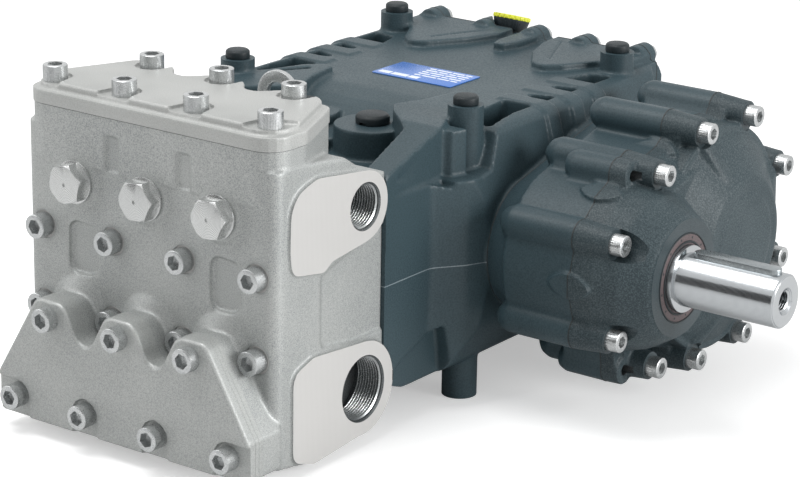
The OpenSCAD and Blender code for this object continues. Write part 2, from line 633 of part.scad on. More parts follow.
module shaft_seal() color("#8A6F6E") difference() {
    rod_x(seal_face - seal_t, seal_face, pinion_y, shaft_height, seal_r);
    rod_x(seal_face - seal_t - 1, seal_face + 1, pinion_y, shaft_height, seal_seat_r + running_gap);
}

// Input shaft with its key and the tapped hole in its end
key_end = shaft_end - 5;
key_base = shaft_height + shaft_r - 5;
module key_body() {
    rod_z(key_base, key_base + key_h, key_end - key_w/2, pinion_y, key_w/2);
    rod_z(key_base, key_base + key_h, key_end - key_length + key_w/2, pinion_y, key_w/2);
    translate([key_end - key_length + key_w/2, pinion_y - key_w/2, key_base])
        cube([key_length - key_w, key_w, key_h]);
}
module input_shaft() color("#D5D7D8") difference() {
    union() {
        rod_x(gear_x1 + 8, shaft_step, pinion_y, shaft_height, seal_seat_r);
        rod_x(shaft_step - 1, shaft_end - 1.5, pinion_y, shaft_height, shaft_r);
        translate([shaft_end - 1.5, pinion_y, shaft_height]) rotate([0, 90, 0])
            cylinder(r1 = shaft_r, r2 = shaft_r - 1.5, h = 1.5);
    }
    key_body();
    rod_x(shaft_end - end_thread_depth, shaft_end + 1, pinion_y, shaft_height, end_thread_r);
}
module shaft_key() color("#3C4144") key_body();

manifold();
top_valve_cover();
suction_valve_cover();
valve_plug(0);  // valve_plug_1
valve_plug(1);  // valve_plug_2
valve_plug(2);  // valve_plug_3
plug_washer(0);  // plug_washer_1
plug_washer(1);  // plug_washer_2
plug_washer(2);  // plug_washer_3
port_plug(discharge_r, discharge_height);  // discharge_port_plug
port_plug(suction_r, suction_height);  // suction_port_plug
crankcase();
rear_cover();
side_bearing_cover();
nameplate();
column_cap(0);  // column_cap_1
column_cap(1);  // column_cap_2
column_cap(2);  // column_cap_3
column_cap(3);  // column_cap_4
wet_end_cover(0);  // wet_end_cover_1
wet_end_cover(1);  // wet_end_cover_2
lifting_eye();
oil_filler();
oil_filler_cap();
oil_sight_glass();
oil_drain_plug();
gearbox_housing();
gearbox_cover();
shaft_seal();
input_shaft();
shaft_key();
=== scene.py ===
"""Looks of a horizontal triplex plunger pump with a side gearbox and a keyed input shaft.

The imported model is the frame, in metres: +X towards the gearbox, +Y from the pump head to the rear
cover and +Z up. Each casting is its own solid with softened edges and machined faces cut sharp again.
"""

import json
import logging
import math
from collections.abc import Callable, Iterator
from contextlib import contextmanager
from dataclasses import dataclass, field, replace
from enum import Enum

import bpy
import numpy as np
from mathutils import Matrix, Vector

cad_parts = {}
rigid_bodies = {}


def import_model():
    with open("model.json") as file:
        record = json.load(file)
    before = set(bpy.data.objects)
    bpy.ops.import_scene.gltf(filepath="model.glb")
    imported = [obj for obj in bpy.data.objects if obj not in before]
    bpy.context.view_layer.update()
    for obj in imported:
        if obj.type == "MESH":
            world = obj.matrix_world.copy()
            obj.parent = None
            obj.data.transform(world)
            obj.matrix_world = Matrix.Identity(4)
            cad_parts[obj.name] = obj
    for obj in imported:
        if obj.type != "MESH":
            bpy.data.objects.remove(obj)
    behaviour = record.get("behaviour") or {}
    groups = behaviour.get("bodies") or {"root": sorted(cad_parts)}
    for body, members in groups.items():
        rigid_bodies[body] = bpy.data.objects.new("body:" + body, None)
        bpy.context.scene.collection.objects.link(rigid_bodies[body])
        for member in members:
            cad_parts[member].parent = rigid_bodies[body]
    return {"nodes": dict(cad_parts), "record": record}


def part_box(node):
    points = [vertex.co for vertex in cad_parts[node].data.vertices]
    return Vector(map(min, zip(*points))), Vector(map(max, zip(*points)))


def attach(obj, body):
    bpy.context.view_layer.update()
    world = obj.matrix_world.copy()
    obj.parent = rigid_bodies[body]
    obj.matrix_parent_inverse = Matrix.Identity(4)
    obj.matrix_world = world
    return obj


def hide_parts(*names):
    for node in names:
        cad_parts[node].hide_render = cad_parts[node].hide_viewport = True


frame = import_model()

log = logging.getLogger("plunger_pump")
MM = 0.001
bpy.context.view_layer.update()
SHARP_ANGLE = math.radians(32)
# Points closer than this are one point
WELD = 0.001 * MM
# A face's middle within the first lies on a plane, and a loose point within the second belongs to it
ON_PLANE = 0.02 * MM
NEAR_PLANE = 0.05 * MM
# The length of one wave of a wave texture at scale 1
WAVE_LENGTH = math.tau / 20
# How far the cutter of a spot face goes below the seat
SKIM = 0.02 * MM
# A casting's material slots after the first, which holds its own finish
FLAT_SLOT, WALL_SLOT = 1, 2

Test = Callable[[Vector, Vector], bool]


class Axis(Enum):
    """One of the three axes of the frame."""

    X = 0
    Y = 1
    Z = 2

    @property
    def way(self) -> Vector:
        """The axis as a unit vector."""
        return Vector([1.0 if i == self.value else 0.0 for i in range(3)])


class Side(Enum):
    """A side of a piece's box, as its axis and its sign along it."""

    LEFT = (Axis.X, -1)
    RIGHT = (Axis.X, 1)
    FRONT = (Axis.Y, -1)
    BACK = (Axis.Y, 1)
    BOTTOM = (Axis.Z, -1)
    TOP = (Axis.Z, 1)

    @property
    def axis(self) -> Axis:
        """The axis that the side lies across."""
        return self.value[0]

    @property
    def sign(self) -> int:
        """The side's sign along its axis."""
        return self.value[1]

    @property
    def out(self) -> Vector:
        """The unit vector that points out of the side."""
        return self.axis.way * self.sign


class Body(Enum):
    """The two bodies that the pieces ride on."""

    PUMP = "pump"
    SHAFT = "drive_shaft"


@dataclass(frozen=True)
class Land:
    """A machined plane of a casting: the side that it closes, and its place along that side's axis."""

    side: Side
    place: float


@dataclass(frozen=True)
class Bore:
    """A round machined hole or spot face: its mouth's centre, way out, radius and depth, in metres.

    A raised one is the flat end of a boss, which is cast higher and then cut down. The cutter
    reaches out of the mouth, through whatever stands beside it.
    """

    mouth: Vector
    out: Vector
    radius: float
    depth: float
    chamfer: float = 0.0
    raised: bool = False
    reach: float = 6 * MM

    def measure(self, points: np.ndarray) -> tuple[np.ndarray, np.ndarray]:
        """Measure how far points lie out of the mouth, and how far from the bore's axis.

        Args:
            points: The points, one in each row.

        Returns:
            The distance out of the mouth and the distance from the axis, for each point.
        """
        out = np.array(self.out)
        offset = points - np.array(self.mouth)
        along = offset @ out
        return along, np.linalg.norm(offset - np.outer(along, out), axis=1)


def stated_hole(name: str) -> Bore:
    """Find a threaded hole in the record's mounts.

    Args:
        name: The mount's name.

    Returns:
        The hole, without a chamfer.
    """
    facts = next(m for m in frame["record"]["mounts"] if m["name"] == name)
    radius, depth = facts["dims"]["r_mm"] * MM, facts["dims"]["length_mm"] * MM
    return Bore(Vector(facts["pos_m"]), Vector(facts["axis"]), radius, depth)


def lands(node: str, *sides: Side) -> list[Land]:
    """List the machined planes that lie on these sides of a node's box.

    Args:
        node: The CAD node's name.
        sides: The sides, in the order wanted.

    Returns:
        A land for each side.
    """
    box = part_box(node)
    return [Land(side, box[side.sign > 0][side.axis.value]) for side in sides]


def middle(node: str, side: Side) -> Vector:
    """Find the middle of one side of a node's box.

    Args:
        node: The CAD node's name.
        side: The side.

    Returns:
        The middle, in metres.
    """
    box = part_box(node)
    made = (box[0] + box[1]) / 2
    made[side.axis.value] = box[side.sign > 0][side.axis.value]
    return made


def linear(hex_code: str) -> tuple[float, float, float, float]:
    """Turn an sRGB hex colour into the linear colour that a shader socket takes.

    Args:
        hex_code: The colour as six hex digits, with or without a leading mark.

    Returns:
        Red, green, blue and alpha, each from 0 to 1.
    """
    digits = hex_code.lstrip("#")
    levels = [int(digits[i : i + 2], 16) / 255 for i in (0, 2, 4)]
    flat = [c / 12.92 if c <= 0.04045 else ((c + 0.055) / 1.055) ** 2.4 for c in levels]
    return (flat[0], flat[1], flat[2], 1.0)


def add_node(tree: bpy.types.NodeTree, kind: str, settings: dict, inputs: dict) -> bpy.types.Node:
    """Add one shader node with its settings, and set or link its inputs.

    Args:
        tree: The material's or the world's node tree.
        kind: The node's type name.
        settings: Its attributes by name.
        inputs: A value or an output socket for each input, by name or number.

    Returns:
        The new node.
    """
    made = tree.nodes.new(kind)
    for name, value in settings.items():
        setattr(made, name, value)
    for key, value in inputs.items():
        if isinstance(value, bpy.types.NodeSocket):
            tree.links.new(value, made.inputs[key])
        else:
            made.inputs[key].default_value = value
    return made


def clean_tree(owner: bpy.types.Material | bpy.types.World) -> bpy.types.NodeTree:
    """Turn on the nodes of a material or world, and clear them.

    Args:
        owner: The material or the world.

    Returns:
        Its empty node tree.
    """
    owner.use_nodes = True
    owner.node_tree.nodes.clear()
    return owner.node_tree


@dataclass(frozen=True)
class Finish:
    """A surface: its colour, how rough it is, and the grain that its making left on it."""

    name: str
    colour: str
    shade: str
    metallic: float = 0.0
    roughness: float = 0.5
    grain_mm: float = 1.0
    grain_bump_mm: float = 0.1
    patch_mm: float = 30.0
    patch: float = 0.3
    coat: float = 0.0
    specular: float = 0.5
    cut_in: tuple[float, float] = (0.34, 0.62)
    rougher: float = 0.1
    smoother: float = 0.06

    def texture(self, tree: bpy.types.NodeTree, place: bpy.types.NodeSocket) -> bpy.types.NodeSocket:
        """Draw the fine grain of the surface.

        Args:
            tree: The material's node tree.
            place: The object coordinates.

        Returns:
            A socket with the grain's height, from 0 to 1.
        """
        grain = add_node(tree, "ShaderNodeTexNoise", {},
                         {"Vector": place, "Scale": 1 / (self.grain_mm * MM), "Detail": 3.0,
                          "Roughness": 0.6})
        return grain.outputs["Fac"]

    def material(self) -> bpy.types.Material:
        """Build the finish as a node material.

        Returns:
            The material, made once and then used again.
        """
        if self.name in bpy.data.materials:
            return bpy.data.materials[self.name]
        made = bpy.data.materials.new(self.name)
        tree = clean_tree(made)
        place = add_node(tree, "ShaderNodeTexCoord", {}, {}).outputs["Object"]
        grain = self.texture(tree, place)
        patches = add_node(tree, "ShaderNodeTexNoise", {},
                           {"Vector": place, "Scale": 1 / (self.patch_mm * MM), "Detail": 2.0})
        low, high = self.cut_in
        spread = add_node(tree, "ShaderNodeMapRange", {}, {"Value": grain, "From Min": low, "From Max": high})
        drift = add_node(tree, "ShaderNodeMapRange", {},
                         {"Value": patches.outputs["Fac"], "From Min": 0.3, "From Max": 0.7,
                          "To Min": -self.patch, "To Max": self.patch})
        level = add_node(tree, "ShaderNodeMath", {"operation": "ADD", "use_clamp": True},
                         {0: spread.outputs[0], 1: drift.outputs[0]})
        tint = add_node(tree, "ShaderNodeMix", {"data_type": "RGBA"},
                        {"Factor": level.outputs[0], 6: linear(self.shade), 7: linear(self.colour)})
        rough = add_node(tree, "ShaderNodeMapRange", {},
                         {"Value": level.outputs[0], "To Min": self.roughness + self.rougher,
                          "To Max": max(0.05, self.roughness - self.smoother)})
        bump = add_node(tree, "ShaderNodeBump", {},
                        {"Height": grain, "Strength": 0.6, "Distance": self.grain_bump_mm * MM})
        shader = add_node(tree, "ShaderNodeBsdfPrincipled", {},
                          {"Base Color": tint.outputs[2], "Metallic": self.metallic,
                           "Roughness": rough.outputs[0], "Normal": bump.outputs[0],
                           "Specular IOR Level": self.specular, "Coat Weight": self.coat,
                           "Coat Roughness": 0.25})
        add_node(tree, "ShaderNodeOutputMaterial", {}, {"Surface": shader.outputs[0]})
        return made


@dataclass(frozen=True)
class CutFinish(Finish):
    """A surface with the feed lines of a cutter, across one axis or as rings about it."""

    feed_mm: float = 1.2
    across: Axis = Axis.Z
    rings: bool = False
    centre: tuple[float, float, float] = (0.0, 0.0, 0.0)

    def texture(self, tree: bpy.types.NodeTree, place: bpy.types.NodeSocket) -> bpy.types.NodeSocket:
        """Draw the feed lines, with the wave's scale set so that they lie one feed apart.

        Args:
            tree: The material's node tree.
            place: The object coordinates.

        Returns:
            A socket with the lines' height, from 0 to 1.
        """
        centred = add_node(tree, "ShaderNodeMapping", {"vector_type": "POINT"},
                           {"Vector": place, "Location": tuple(-c for c in self.centre)})
        settings = {"wave_type": "RINGS" if self.rings else "BANDS"}
        settings["rings_direction" if self.rings else "bands_direction"] = self.across.name
        lines = add_node(tree, "ShaderNodeTexWave", settings,
                         {"Vector": centred.outputs[0], "Scale": WAVE_LENGTH / (self.feed_mm * MM),
                          "Distortion": 0.6, "Detail": 2.0, "Detail Scale": 1.5})
        return lines.outputs["Fac"]


# Fine sand casting with a satin nickel plate: even light grey, with small dark pits.
HEAD_CASTING = Finish("nickel_plated_sand_casting", "#B6B8B6", "#888C8C", metallic=0.4, roughness=0.48,
                      grain_mm=0.65, grain_bump_mm=0.16, patch_mm=70, patch=0.15)
# The covers come from a finer mould. Their plate is painted a little brighter than the head's, as painted
# highlight for the light lines along the suction cover's steps.
COVER_CASTING = Finish("nickel_plated_fine_casting", "#B1B3B1", "#939695", metallic=0.4, roughness=0.48,
                       grain_mm=0.7, grain_bump_mm=0.1, patch_mm=60, patch=0.2)
# The top cover's plate, even and painted paler than the head's: painted light for the light that falls on its
# top face.
TOP_CASTING_PAINTED_LIGHT = Finish("blasted_nickel_plated_casting", "#B8B9B7", "#9FA19F", metallic=0.3, roughness=0.5,
                     grain_mm=0.6, grain_bump_mm=0.08, patch_mm=60, patch=0.2)
# Face-milled nickel-plated iron: bright, with lines 1.4 mm apart, drawn coarser than the real feed.
MILLED = CutFinish("face_milled_casting", "#C2C1BF", "#BCBBB9", metallic=0.1, roughness=0.5,
                   grain_bump_mm=0.01, patch=0.2, feed_mm=1.4, across=Axis.Y)
# Bored iron, painted darker: painted shade inside its hole.
BORED = Finish("bored_iron", "#6A6E6F", "#474B4D", metallic=0.7, roughness=0.4, grain_mm=0.8,
               grain_bump_mm=0.03)
# The flanks of a cut thread, bright on their crests.
CUT_THREAD = Finish("cut_thread_in_iron", "#B4B7B7", "#8C9091", metallic=0.9, roughness=0.27, grain_mm=0.7,
                    grain_bump_mm=0.02)
# Satin enamel sprayed on cast iron: blue-grey, with a fine stipple from the sand mould.
CASE_PAINT = Finish("satin_enamel_on_iron", "#38494F", "#2B3B41", roughness=0.46, grain_mm=1.2,
                    grain_bump_mm=0.09, patch_mm=90, patch=0.25, coat=0.05, specular=0.3)
# The gearbox cover's coarse sand casting shows through the same enamel.
GEAR_PAINT = Finish("enamel_on_coarse_casting", "#4F5A5D", "#28353A", roughness=0.5, grain_mm=1.1,
                    grain_bump_mm=0.3, patch_mm=45, patch=0.12, coat=0.05, specular=0.3, cut_in=(0.42, 0.76))
# A turned face under thin enamel: smoother and evener than the casting round it.
FACED_PAINT = Finish("enamel_on_turned_face", "#343F43", "#2D383C", roughness=0.42, grain_mm=0.8,
                     grain_bump_mm=0.04, patch_mm=30, patch=0.2, coat=0.05, specular=0.35)
# Liquid sealing compound, squeezed out of a joint and painted over: a dark line.
SEALING_COMPOUND = Finish("sealing_compound", "#2C3132", "#1E2223", roughness=0.6, grain_mm=1.5,
                          grain_bump_mm=0.05, patch=0.2)
# The flash line of the mould joint, in a paler enamel: a painted highlight along the ridge.
FLASH_LINE = Finish("enamel_on_flash_line", "#7F8A8D", "#66727A", roughness=0.4, grain_mm=1.2,
                    grain_bump_mm=0.04)
# Bright zinc on cold-headed steel.
ZINC = Finish("zinc_plated_steel", "#C9CBCB", "#A7AAAB", metallic=0.85, roughness=0.3, grain_mm=0.8,
              grain_bump_mm=0.02, patch_mm=12, patch=0.2)
# Stainless steel, turned and milled.
STAINLESS = Finish("milled_stainless_steel", "#D2D3D2", "#B4B6B6", metallic=0.85, roughness=0.28,
                   grain_mm=0.7, grain_bump_mm=0.02, patch_mm=10, patch=0.25)
# The same steel with the rings that a lathe leaves; each plug has its own centre.
TURNED = CutFinish("turned_stainless_steel", "#D6D7D6", "#B2B4B4", metallic=0.85, roughness=0.26,
                   grain_bump_mm=0.02, patch=0.2, feed_mm=1.1, across=Axis.Y, rings=True)
# Cylindrically ground shaft steel: bright, with fine lines round the shaft.
GROUND = CutFinish("ground_shaft_steel", "#BFC2C4", "#A4A8AB", metallic=1.0, roughness=0.2,
                   grain_bump_mm=0.01, patch=0.15, feed_mm=0.9, across=Axis.X)
# Drawn key steel, oiled dark.
KEY_STEEL = Finish("oiled_key_steel", "#A4AAAC", "#858B8E", metallic=0.85, roughness=0.3, grain_mm=0.8,
                   grain_bump_mm=0.03)
# Moulded polyamide with a fine spark-eroded texture.
BLACK_PLASTIC = Finish("moulded_black_polyamide", "#1D272B", "#141B1E", roughness=0.5, grain_mm=0.7,
                       grain_bump_mm=0.04, specular=0.35)
YELLOW_PLASTIC = Finish("moulded_yellow_polyamide", "#E3E546", "#CBD033", roughness=0.42, grain_mm=0.9,
                        grain_bump_mm=0.03, patch=0.2)
# Printed foil on aluminium: blue ground with pale bars.
BLUE_FOIL = Finish("printed_blue_foil", "#4079CB", "#356BBB", roughness=0.3, grain_mm=0.6, grain_bump_mm=0.01,
                   coat=0.3)
PALE_PRINT = Finish("pale_print", "#E9EEF6", "#D5DEEC", roughness=0.35, grain_mm=0.6, grain_bump_mm=0.01)
# Fluoro-rubber lip seal, brown and slightly dusty.
SEAL_RUBBER = Finish("brown_fluoro_rubber", "#5D5051", "#4C4142", roughness=0.55, grain_mm=0.9,
                     grain_bump_mm=0.05)
# Clear dome over oil, amber.
OIL_GLASS = Finish("amber_sight_glass", "#B0842F", "#9A7128", roughness=0.08, grain_mm=3, grain_bump_mm=0.0,
                   patch_mm=40, patch=0.2, coat=1.0)


def alone(obj: bpy.types.Object) -> None:
    """Make an object the only selected one, in object mode.

    Args:
        obj: The object.
    """
    if bpy.context.object and bpy.context.object.mode != "OBJECT":
        bpy.ops.object.mode_set(mode="OBJECT")
    bpy.ops.object.select_all(action="DESELECT")
    obj.select_set(True)
    bpy.context.view_layer.objects.active = obj


@contextmanager
def editing(obj: bpy.types.Object, edges: Test | None = None, faces: Test | None = None) -> Iterator[None]:
    """Open a piece in edit mode, with all of it selected or only what passes a test.

    Args:
        obj: The piece.
        edges: Takes the two ends of an edge, and tells whether it is selected.
        faces: Takes the middle and the normal of a face, and tells whether it is selected.
    """
    alone(obj)
    bpy.ops.object.mode_set(mode="EDIT")
    bpy.ops.mesh.select_mode(type="EDGE" if edges else "FACE")
    bpy.ops.mesh.select_all(action="DESELECT" if edges or faces else "SELECT")
    if edges or faces:
        bpy.ops.object.mode_set(mode="OBJECT")
        points = obj.data.vertices
        for edge in obj.data.edges if edges else []:
            edge.select = edges(points[edge.vertices[0]].co, points[edge.vertices[1]].co)
        for face in obj.data.polygons if faces else []:
            face.select = faces(face.center, face.normal)
        bpy.ops.object.mode_set(mode="EDIT")
    yield
    bpy.ops.object.mode_set(mode="OBJECT")


def select_all() -> None:
    """Select the whole mesh that is being edited."""
    bpy.ops.mesh.select_all(action="SELECT")


def extrude(by: Vector) -> None:
    """Extrude the selected faces by a vector."""
    bpy.ops.mesh.extrude_region_move(TRANSFORM_OT_translate={"value": by})


def modify(obj: bpy.types.Object, kind: str, **settings: object) -> None:
    """Add a modifier with these settings and apply it.

    Args:
        obj: The piece.
        kind: The modifier's type name.
        settings: Its attributes by name.
    """
    alone(obj)
    modifier = obj.modifiers.new(kind.lower(), kind)
    for name, value in settings.items():
        setattr(modifier, name, value)
    bpy.ops.object.modifier_apply(modifier=modifier.name)


def primitive(name: str, add: Callable, **settings: object) -> bpy.types.Object:
    """Deselect everything, add a primitive and give it a name.

    Args:
        name: The object's name.
        add: The operator that adds it.
        settings: What the operator takes.

    Returns:
        The primitive.
    """
    bpy.ops.object.select_all(action="DESELECT")
    add(**settings)
    made = bpy.context.object
    made.name = name
    return made


def add_object(name: str, data: bpy.types.ID) -> bpy.types.Object:
    """Put a new object into the scene.

    Args:
        name: The object's name.
        data: Its mesh, camera or lamp.

    Returns:
        The object.
    """
    made = bpy.data.objects.new(name, data)
    bpy.context.scene.collection.objects.link(made)
    return made


def aim(place: Vector, way: Vector, nose: str = "Z") -> Matrix:
    """The matrix that sets a piece down at a place, with its nose axis along a direction."""
    return Matrix.Translation(place) @ way.to_track_quat(nose, "Y").to_matrix().to_4x4()


def rod(name: str, foot: Vector, way: Vector, radius: float, length: float,
        sides: int = 48) -> bpy.types.Object:
    """Add a cylinder that runs from a point along a direction, with its place in its mesh.

    Args:
        name: The object's name.
        foot: The middle of its first end.
        way: A unit vector along it.
        radius: Its radius.
        length: Its length.
        sides: How many sides it has.

    Returns:
        The cylinder.
    """
    made = primitive(name, bpy.ops.mesh.primitive_cylinder_add, vertices=sides, radius=radius,
                     depth=length)
    made.data.transform(aim(foot + way * (length / 2), way))
    return made


def block(name: str, low: Vector, high: Vector, edge: float = 0.0) -> bpy.types.Object:
    """Add a box between two corners, with its place in its mesh.

    Args:
        name: The object's name.
        low: Its lowest corner.
        high: Its highest corner.
        edge: The width of the bevel on its upright edges.

    Returns:
        The box.
    """
    made = primitive(name, bpy.ops.mesh.primitive_cube_add, size=1, location=(low + high) / 2,
                     scale=high - low)
    bpy.ops.object.transform_apply(location=True, rotation=True, scale=True)
    if edge:
        with editing(made, edges=lambda a, b: (a.xy - b.xy).length < WELD):
            bpy.ops.mesh.bevel(offset=edge, segments=3, affect="EDGES")
    return made


def ring(name: str, centre: Vector, way: Vector, radius: float, thick: float) -> bpy.types.Object:
    """Add a round ring about an axis, with its place in its mesh.

    Args:
        name: The object's name.
        centre: Its middle.
        way: A unit vector along its axis.
        radius: The radius of its middle line.
        thick: The radius of its section.

    Returns:
        The ring.
    """
    made = primitive(name, bpy.ops.mesh.primitive_torus_add, major_radius=radius, minor_radius=thick,
                     major_segments=96, minor_segments=10)
    made.data.transform(aim(centre, way))
    return made


def joined(name: str, objs: list[bpy.types.Object]) -> bpy.types.Object:
    """Join several objects into the first one and name it.

    Args:
        name: The name of what is left.
        objs: The objects to join.

    Returns:
        The joined object.
    """
    alone(objs[0])
    for other in objs[1:]:
        other.select_set(True)
    if len(objs) > 1:
        bpy.ops.object.join()
    made = bpy.context.object
    made.name = name
    return made


def cut(obj: bpy.types.Object, cutters: list[bpy.types.Object]) -> None:
    """Take the cutters, which don't touch each other, out of the piece.

    Args:
        obj: The piece.
        cutters: The solids to take out, which are deleted.
    """
    tool = joined("cutter", cutters)
    modify(obj, "BOOLEAN", operation="DIFFERENCE", solver="MANIFOLD", object=tool)
    bpy.data.objects.remove(tool)


def node_copy(node: str, name: str) -> bpy.types.Object:
    """Copy a CAD node's mesh into a piece of its own, with its loose triangles merged.

    Args:
        node: The CAD node's name.
        name: The piece's name.

    Returns:
        The new piece.
    """
    made = add_object(name, frame["nodes"][node].data.copy())
    made.data.materials.clear()
    with editing(made):
        bpy.ops.mesh.remove_doubles(threshold=2 * WELD)
    return made


def dress(obj: bpy.types.Object, finish: Finish, slot: str, *nodes: str,
          body: Body = Body.PUMP) -> bpy.types.Object:
    """Give a piece its finish, let it ride on its body, and hide the nodes that it stands for.

    Args:
        obj: The piece.
        finish: Its finish, put in the first material slot.
        slot: The record's material slot; not used.
        nodes: The CAD nodes that it replaces.
        body: The body that it rides on.

    Returns:
        The piece.
    """
    if obj.data.materials:
        obj.data.materials[0] = finish.material()
    else:
        obj.data.materials.append(finish.material())
    alone(obj)
    bpy.ops.object.shade_smooth_by_angle(angle=SHARP_ANGLE)
    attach(obj, body.value)
    if nodes:
        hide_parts(*nodes)
    log.info("%s: %d faces on %s", obj.name, len(obj.data.polygons), body.value)
    return obj


def soft_edges(node: str, finish: Finish, slot: str, edge_mm: float = 0.5,
               body: Body = Body.PUMP) -> bpy.types.Object:
    """Make a turned or moulded piece from its node, with its edges broken by a small bevel.

    Args:
        node: The CAD node's name.
        finish: Its finish.
        slot: The record's material slot.
        edge_mm: The bevel's width.
        body: The body that it rides on.

    Returns:
        The piece, dressed.
    """
    made = node_copy(node, node + "_finished")
    with editing(made):
        bpy.ops.mesh.dissolve_limited(angle_limit=math.radians(0.5))
    modify(made, "BEVEL", width=edge_mm * MM, segments=2, limit_method="ANGLE",
           angle_limit=math.radians(35), use_clamp_overlap=True)
    return dress(made, finish, slot, node, body=body)


def read_rows(items: bpy.types.bpy_prop_collection, name: str) -> np.ndarray:
    """Read a vector of every vertex or face of a mesh.

    Args:
        items: The mesh's vertices or faces.
        name: The vector's name, such as co or normal.

    Returns:
        The vectors, one in each row.
    """
    values = np.zeros(len(items) * 3)
    items.foreach_get(name, values)
    return values.reshape(-1, 3)


@dataclass
class Casting:
    """A cast piece: its solid with softened edges, then its machined faces and bores cut sharp."""

    node: str
    finish: Finish = CASE_PAINT
    slot: str = "case_paint"
    voxel_mm: float = 1.3
    soften: int = 4
    lands: list[Land] = field(default_factory=list)
    bores: list[Bore] = field(default_factory=list)
    most_faces: int = 90000
    spare: float = 3 * MM
    boss_spare: float = 2.1 * MM

    def stretch(self, obj: bpy.types.Object) -> None:
        """Raise each machined face a little, so that the softening stays outside the part.

        Args:
            obj: The copy of the solid.
        """
        points = read_rows(obj.data.vertices, "co")
        for land in self.lands:
            axis = land.side.axis.value
            points[abs(points[:, axis] - land.place) < NEAR_PLANE, axis] += land.side.sign * self.spare
        for bore in self.bores:
            if bore.raised:
                along, away = bore.measure(points)
                raised = (abs(along) < NEAR_PLANE) & (away < bore.radius)
                points[raised] += np.array(bore.out) * self.boss_spare
        obj.data.vertices.foreach_set("co", points.ravel())
        obj.data.update()

    def cutters(self) -> list[bpy.types.Object]:
        """Make the rods that open the bores, each with its chamfer at the mouth.

        Returns:
            The rods, one for each bore.
        """
        made = []
        for bore in self.bores:
            length = bore.depth - bore.chamfer if bore.chamfer else bore.depth + bore.reach
            tool = rod("bore", bore.mouth - bore.out * bore.depth, bore.out, bore.radius, length, 64)
            if bore.chamfer:
                grow = 1 + bore.chamfer / bore.radius
                with editing(tool, faces=lambda centre, normal, out=bore.out: normal.dot(out) > 0.9):
                    extrude(bore.out * bore.chamfer)
                    bpy.ops.transform.resize(value=(grow,) * 3, center_override=bore.mouth)
                    extrude(bore.out * bore.reach)
            made.append(tool)
        return made

    def trim(self, obj: bpy.types.Object) -> None:
        """Cut each land flat with a plane, and close the cut.

        Args:
            obj: The softened piece.
        """
        for land in self.lands:
            with editing(obj):
                bpy.ops.mesh.bisect(plane_co=land.side.axis.way * land.place, plane_no=land.side.out,
                                    use_fill=True, clear_outer=True, threshold=WELD)

    def machined(self, obj: bpy.types.Object, flat_finish: Finish, wall_finish: Finish) -> None:
        """Give the lands and spot faces one machined finish, and the walls of the bores another.

        Args:
            obj: The trimmed piece.
            flat_finish: The finish of the lands and spot faces.
            wall_finish: The finish inside the bores.
        """
        for finish in (flat_finish, wall_finish):
            obj.data.materials.append(finish.material())
        centres, normals = read_rows(obj.data.polygons, "center"), read_rows(obj.data.polygons, "normal")
        slots = np.zeros(len(centres), np.int32)
        for land in self.lands:
            axis = land.side.axis.value
            flat = abs(centres[:, axis] - land.place) < ON_PLANE
            slots[flat & (normals[:, axis] * land.side.sign > 0.999)] = FLAT_SLOT
        for bore in self.bores:
            along, away = bore.measure(centres)
            inside = (along > -bore.depth - 2 * NEAR_PLANE) & (along < 2 * NEAR_PLANE)
            inside &= away < bore.radius + bore.chamfer + NEAR_PLANE
            if bore.depth > self.spare:
                wall = (abs(normals @ np.array(bore.out)) < 0.99) | (along < -self.spare)
                slots[inside & wall] = WALL_SLOT
            else:
                slots[inside] = FLAT_SLOT
        obj.data.polygons.foreach_set("material_index", slots)

    def build(self, flat_finish: Finish = MILLED, wall_finish: Finish = BORED) -> bpy.types.Object:
        """Build the casting and dress it.

        Args:
            flat_finish: The finish of its lands and spot faces.
            wall_finish: The finish inside its bores.

        Returns:
            The piece.
        """
        made = node_copy(self.node, self.node + "_casting")
        self.stretch(made)
        modify(made, "REMESH", mode="VOXEL", voxel_size=self.voxel_mm * MM)
        modify(made, "SMOOTH", factor=0.5, iterations=self.soften)
        if len(made.data.polygons) > self.most_faces:
            modify(made, "DECIMATE", ratio=self.most_faces / len(made.data.polygons))
        self.trim(made)
        if self.bores:
            cut(made, self.cutters())
        made.data.materials.clear()
        made.data.materials.append(self.finish.material())
        self.machined(made, flat_finish, wall_finish)
        return dress(made, self.finish, self.slot, self.node)


@dataclass
class Seam:
    """A thin sheet in a joint between two castings, which shows as a line round them."""

    casting: bpy.types.Object
    land: Land
    thickness: float = 0.8 * MM
    stand: float = 0.22 * MM

    def build(self, finish: Finish, slot: str) -> None:
        """Lift the casting's joint face off as a sheet and thicken it.

        Args:
            finish: The finish of the sheet.
            slot: The record's material slot.
        """
        side, place = self.land.side, self.land.place
        axis = side.axis.value

        def on_joint(centre: Vector, normal: Vector) -> bool:
            """Tell whether a face belongs to the joint."""
            return abs(centre[axis] - place) < ON_PLANE and abs(normal[axis]) > 0.999

        before = set(bpy.data.objects)
        with editing(self.casting, faces=on_joint):
            bpy.ops.mesh.duplicate()
            bpy.ops.mesh.separate(type="SELECTED")
        sheet = next(obj for obj in bpy.data.objects if obj not in before)
        bpy.context.view_layer.update()
        low, high = Vector(sheet.bound_box[0]), Vector(sheet.bound_box[6])
        sheet.name = f"{self.casting.name}_seam_{side.axis.name.lower()}"
        sheet.data.materials.clear()
        grow = [1.0 if i == axis else 1 + 2 * self.stand / max(high[i] - low[i], MM) for i in range(3)]
        with editing(sheet):
            bpy.ops.mesh.dissolve_limited(angle_limit=math.radians(0.2))
            extrude(side.out * self.thickness)
            select_all()
            bpy.ops.mesh.normals_make_consistent(inside=False)
            bpy.ops.transform.translate(value=-side.out * self.thickness / 2)
            bpy.ops.transform.resize(value=grow, center_override=(low + high) / 2)
        dress(sheet, finish, slot)


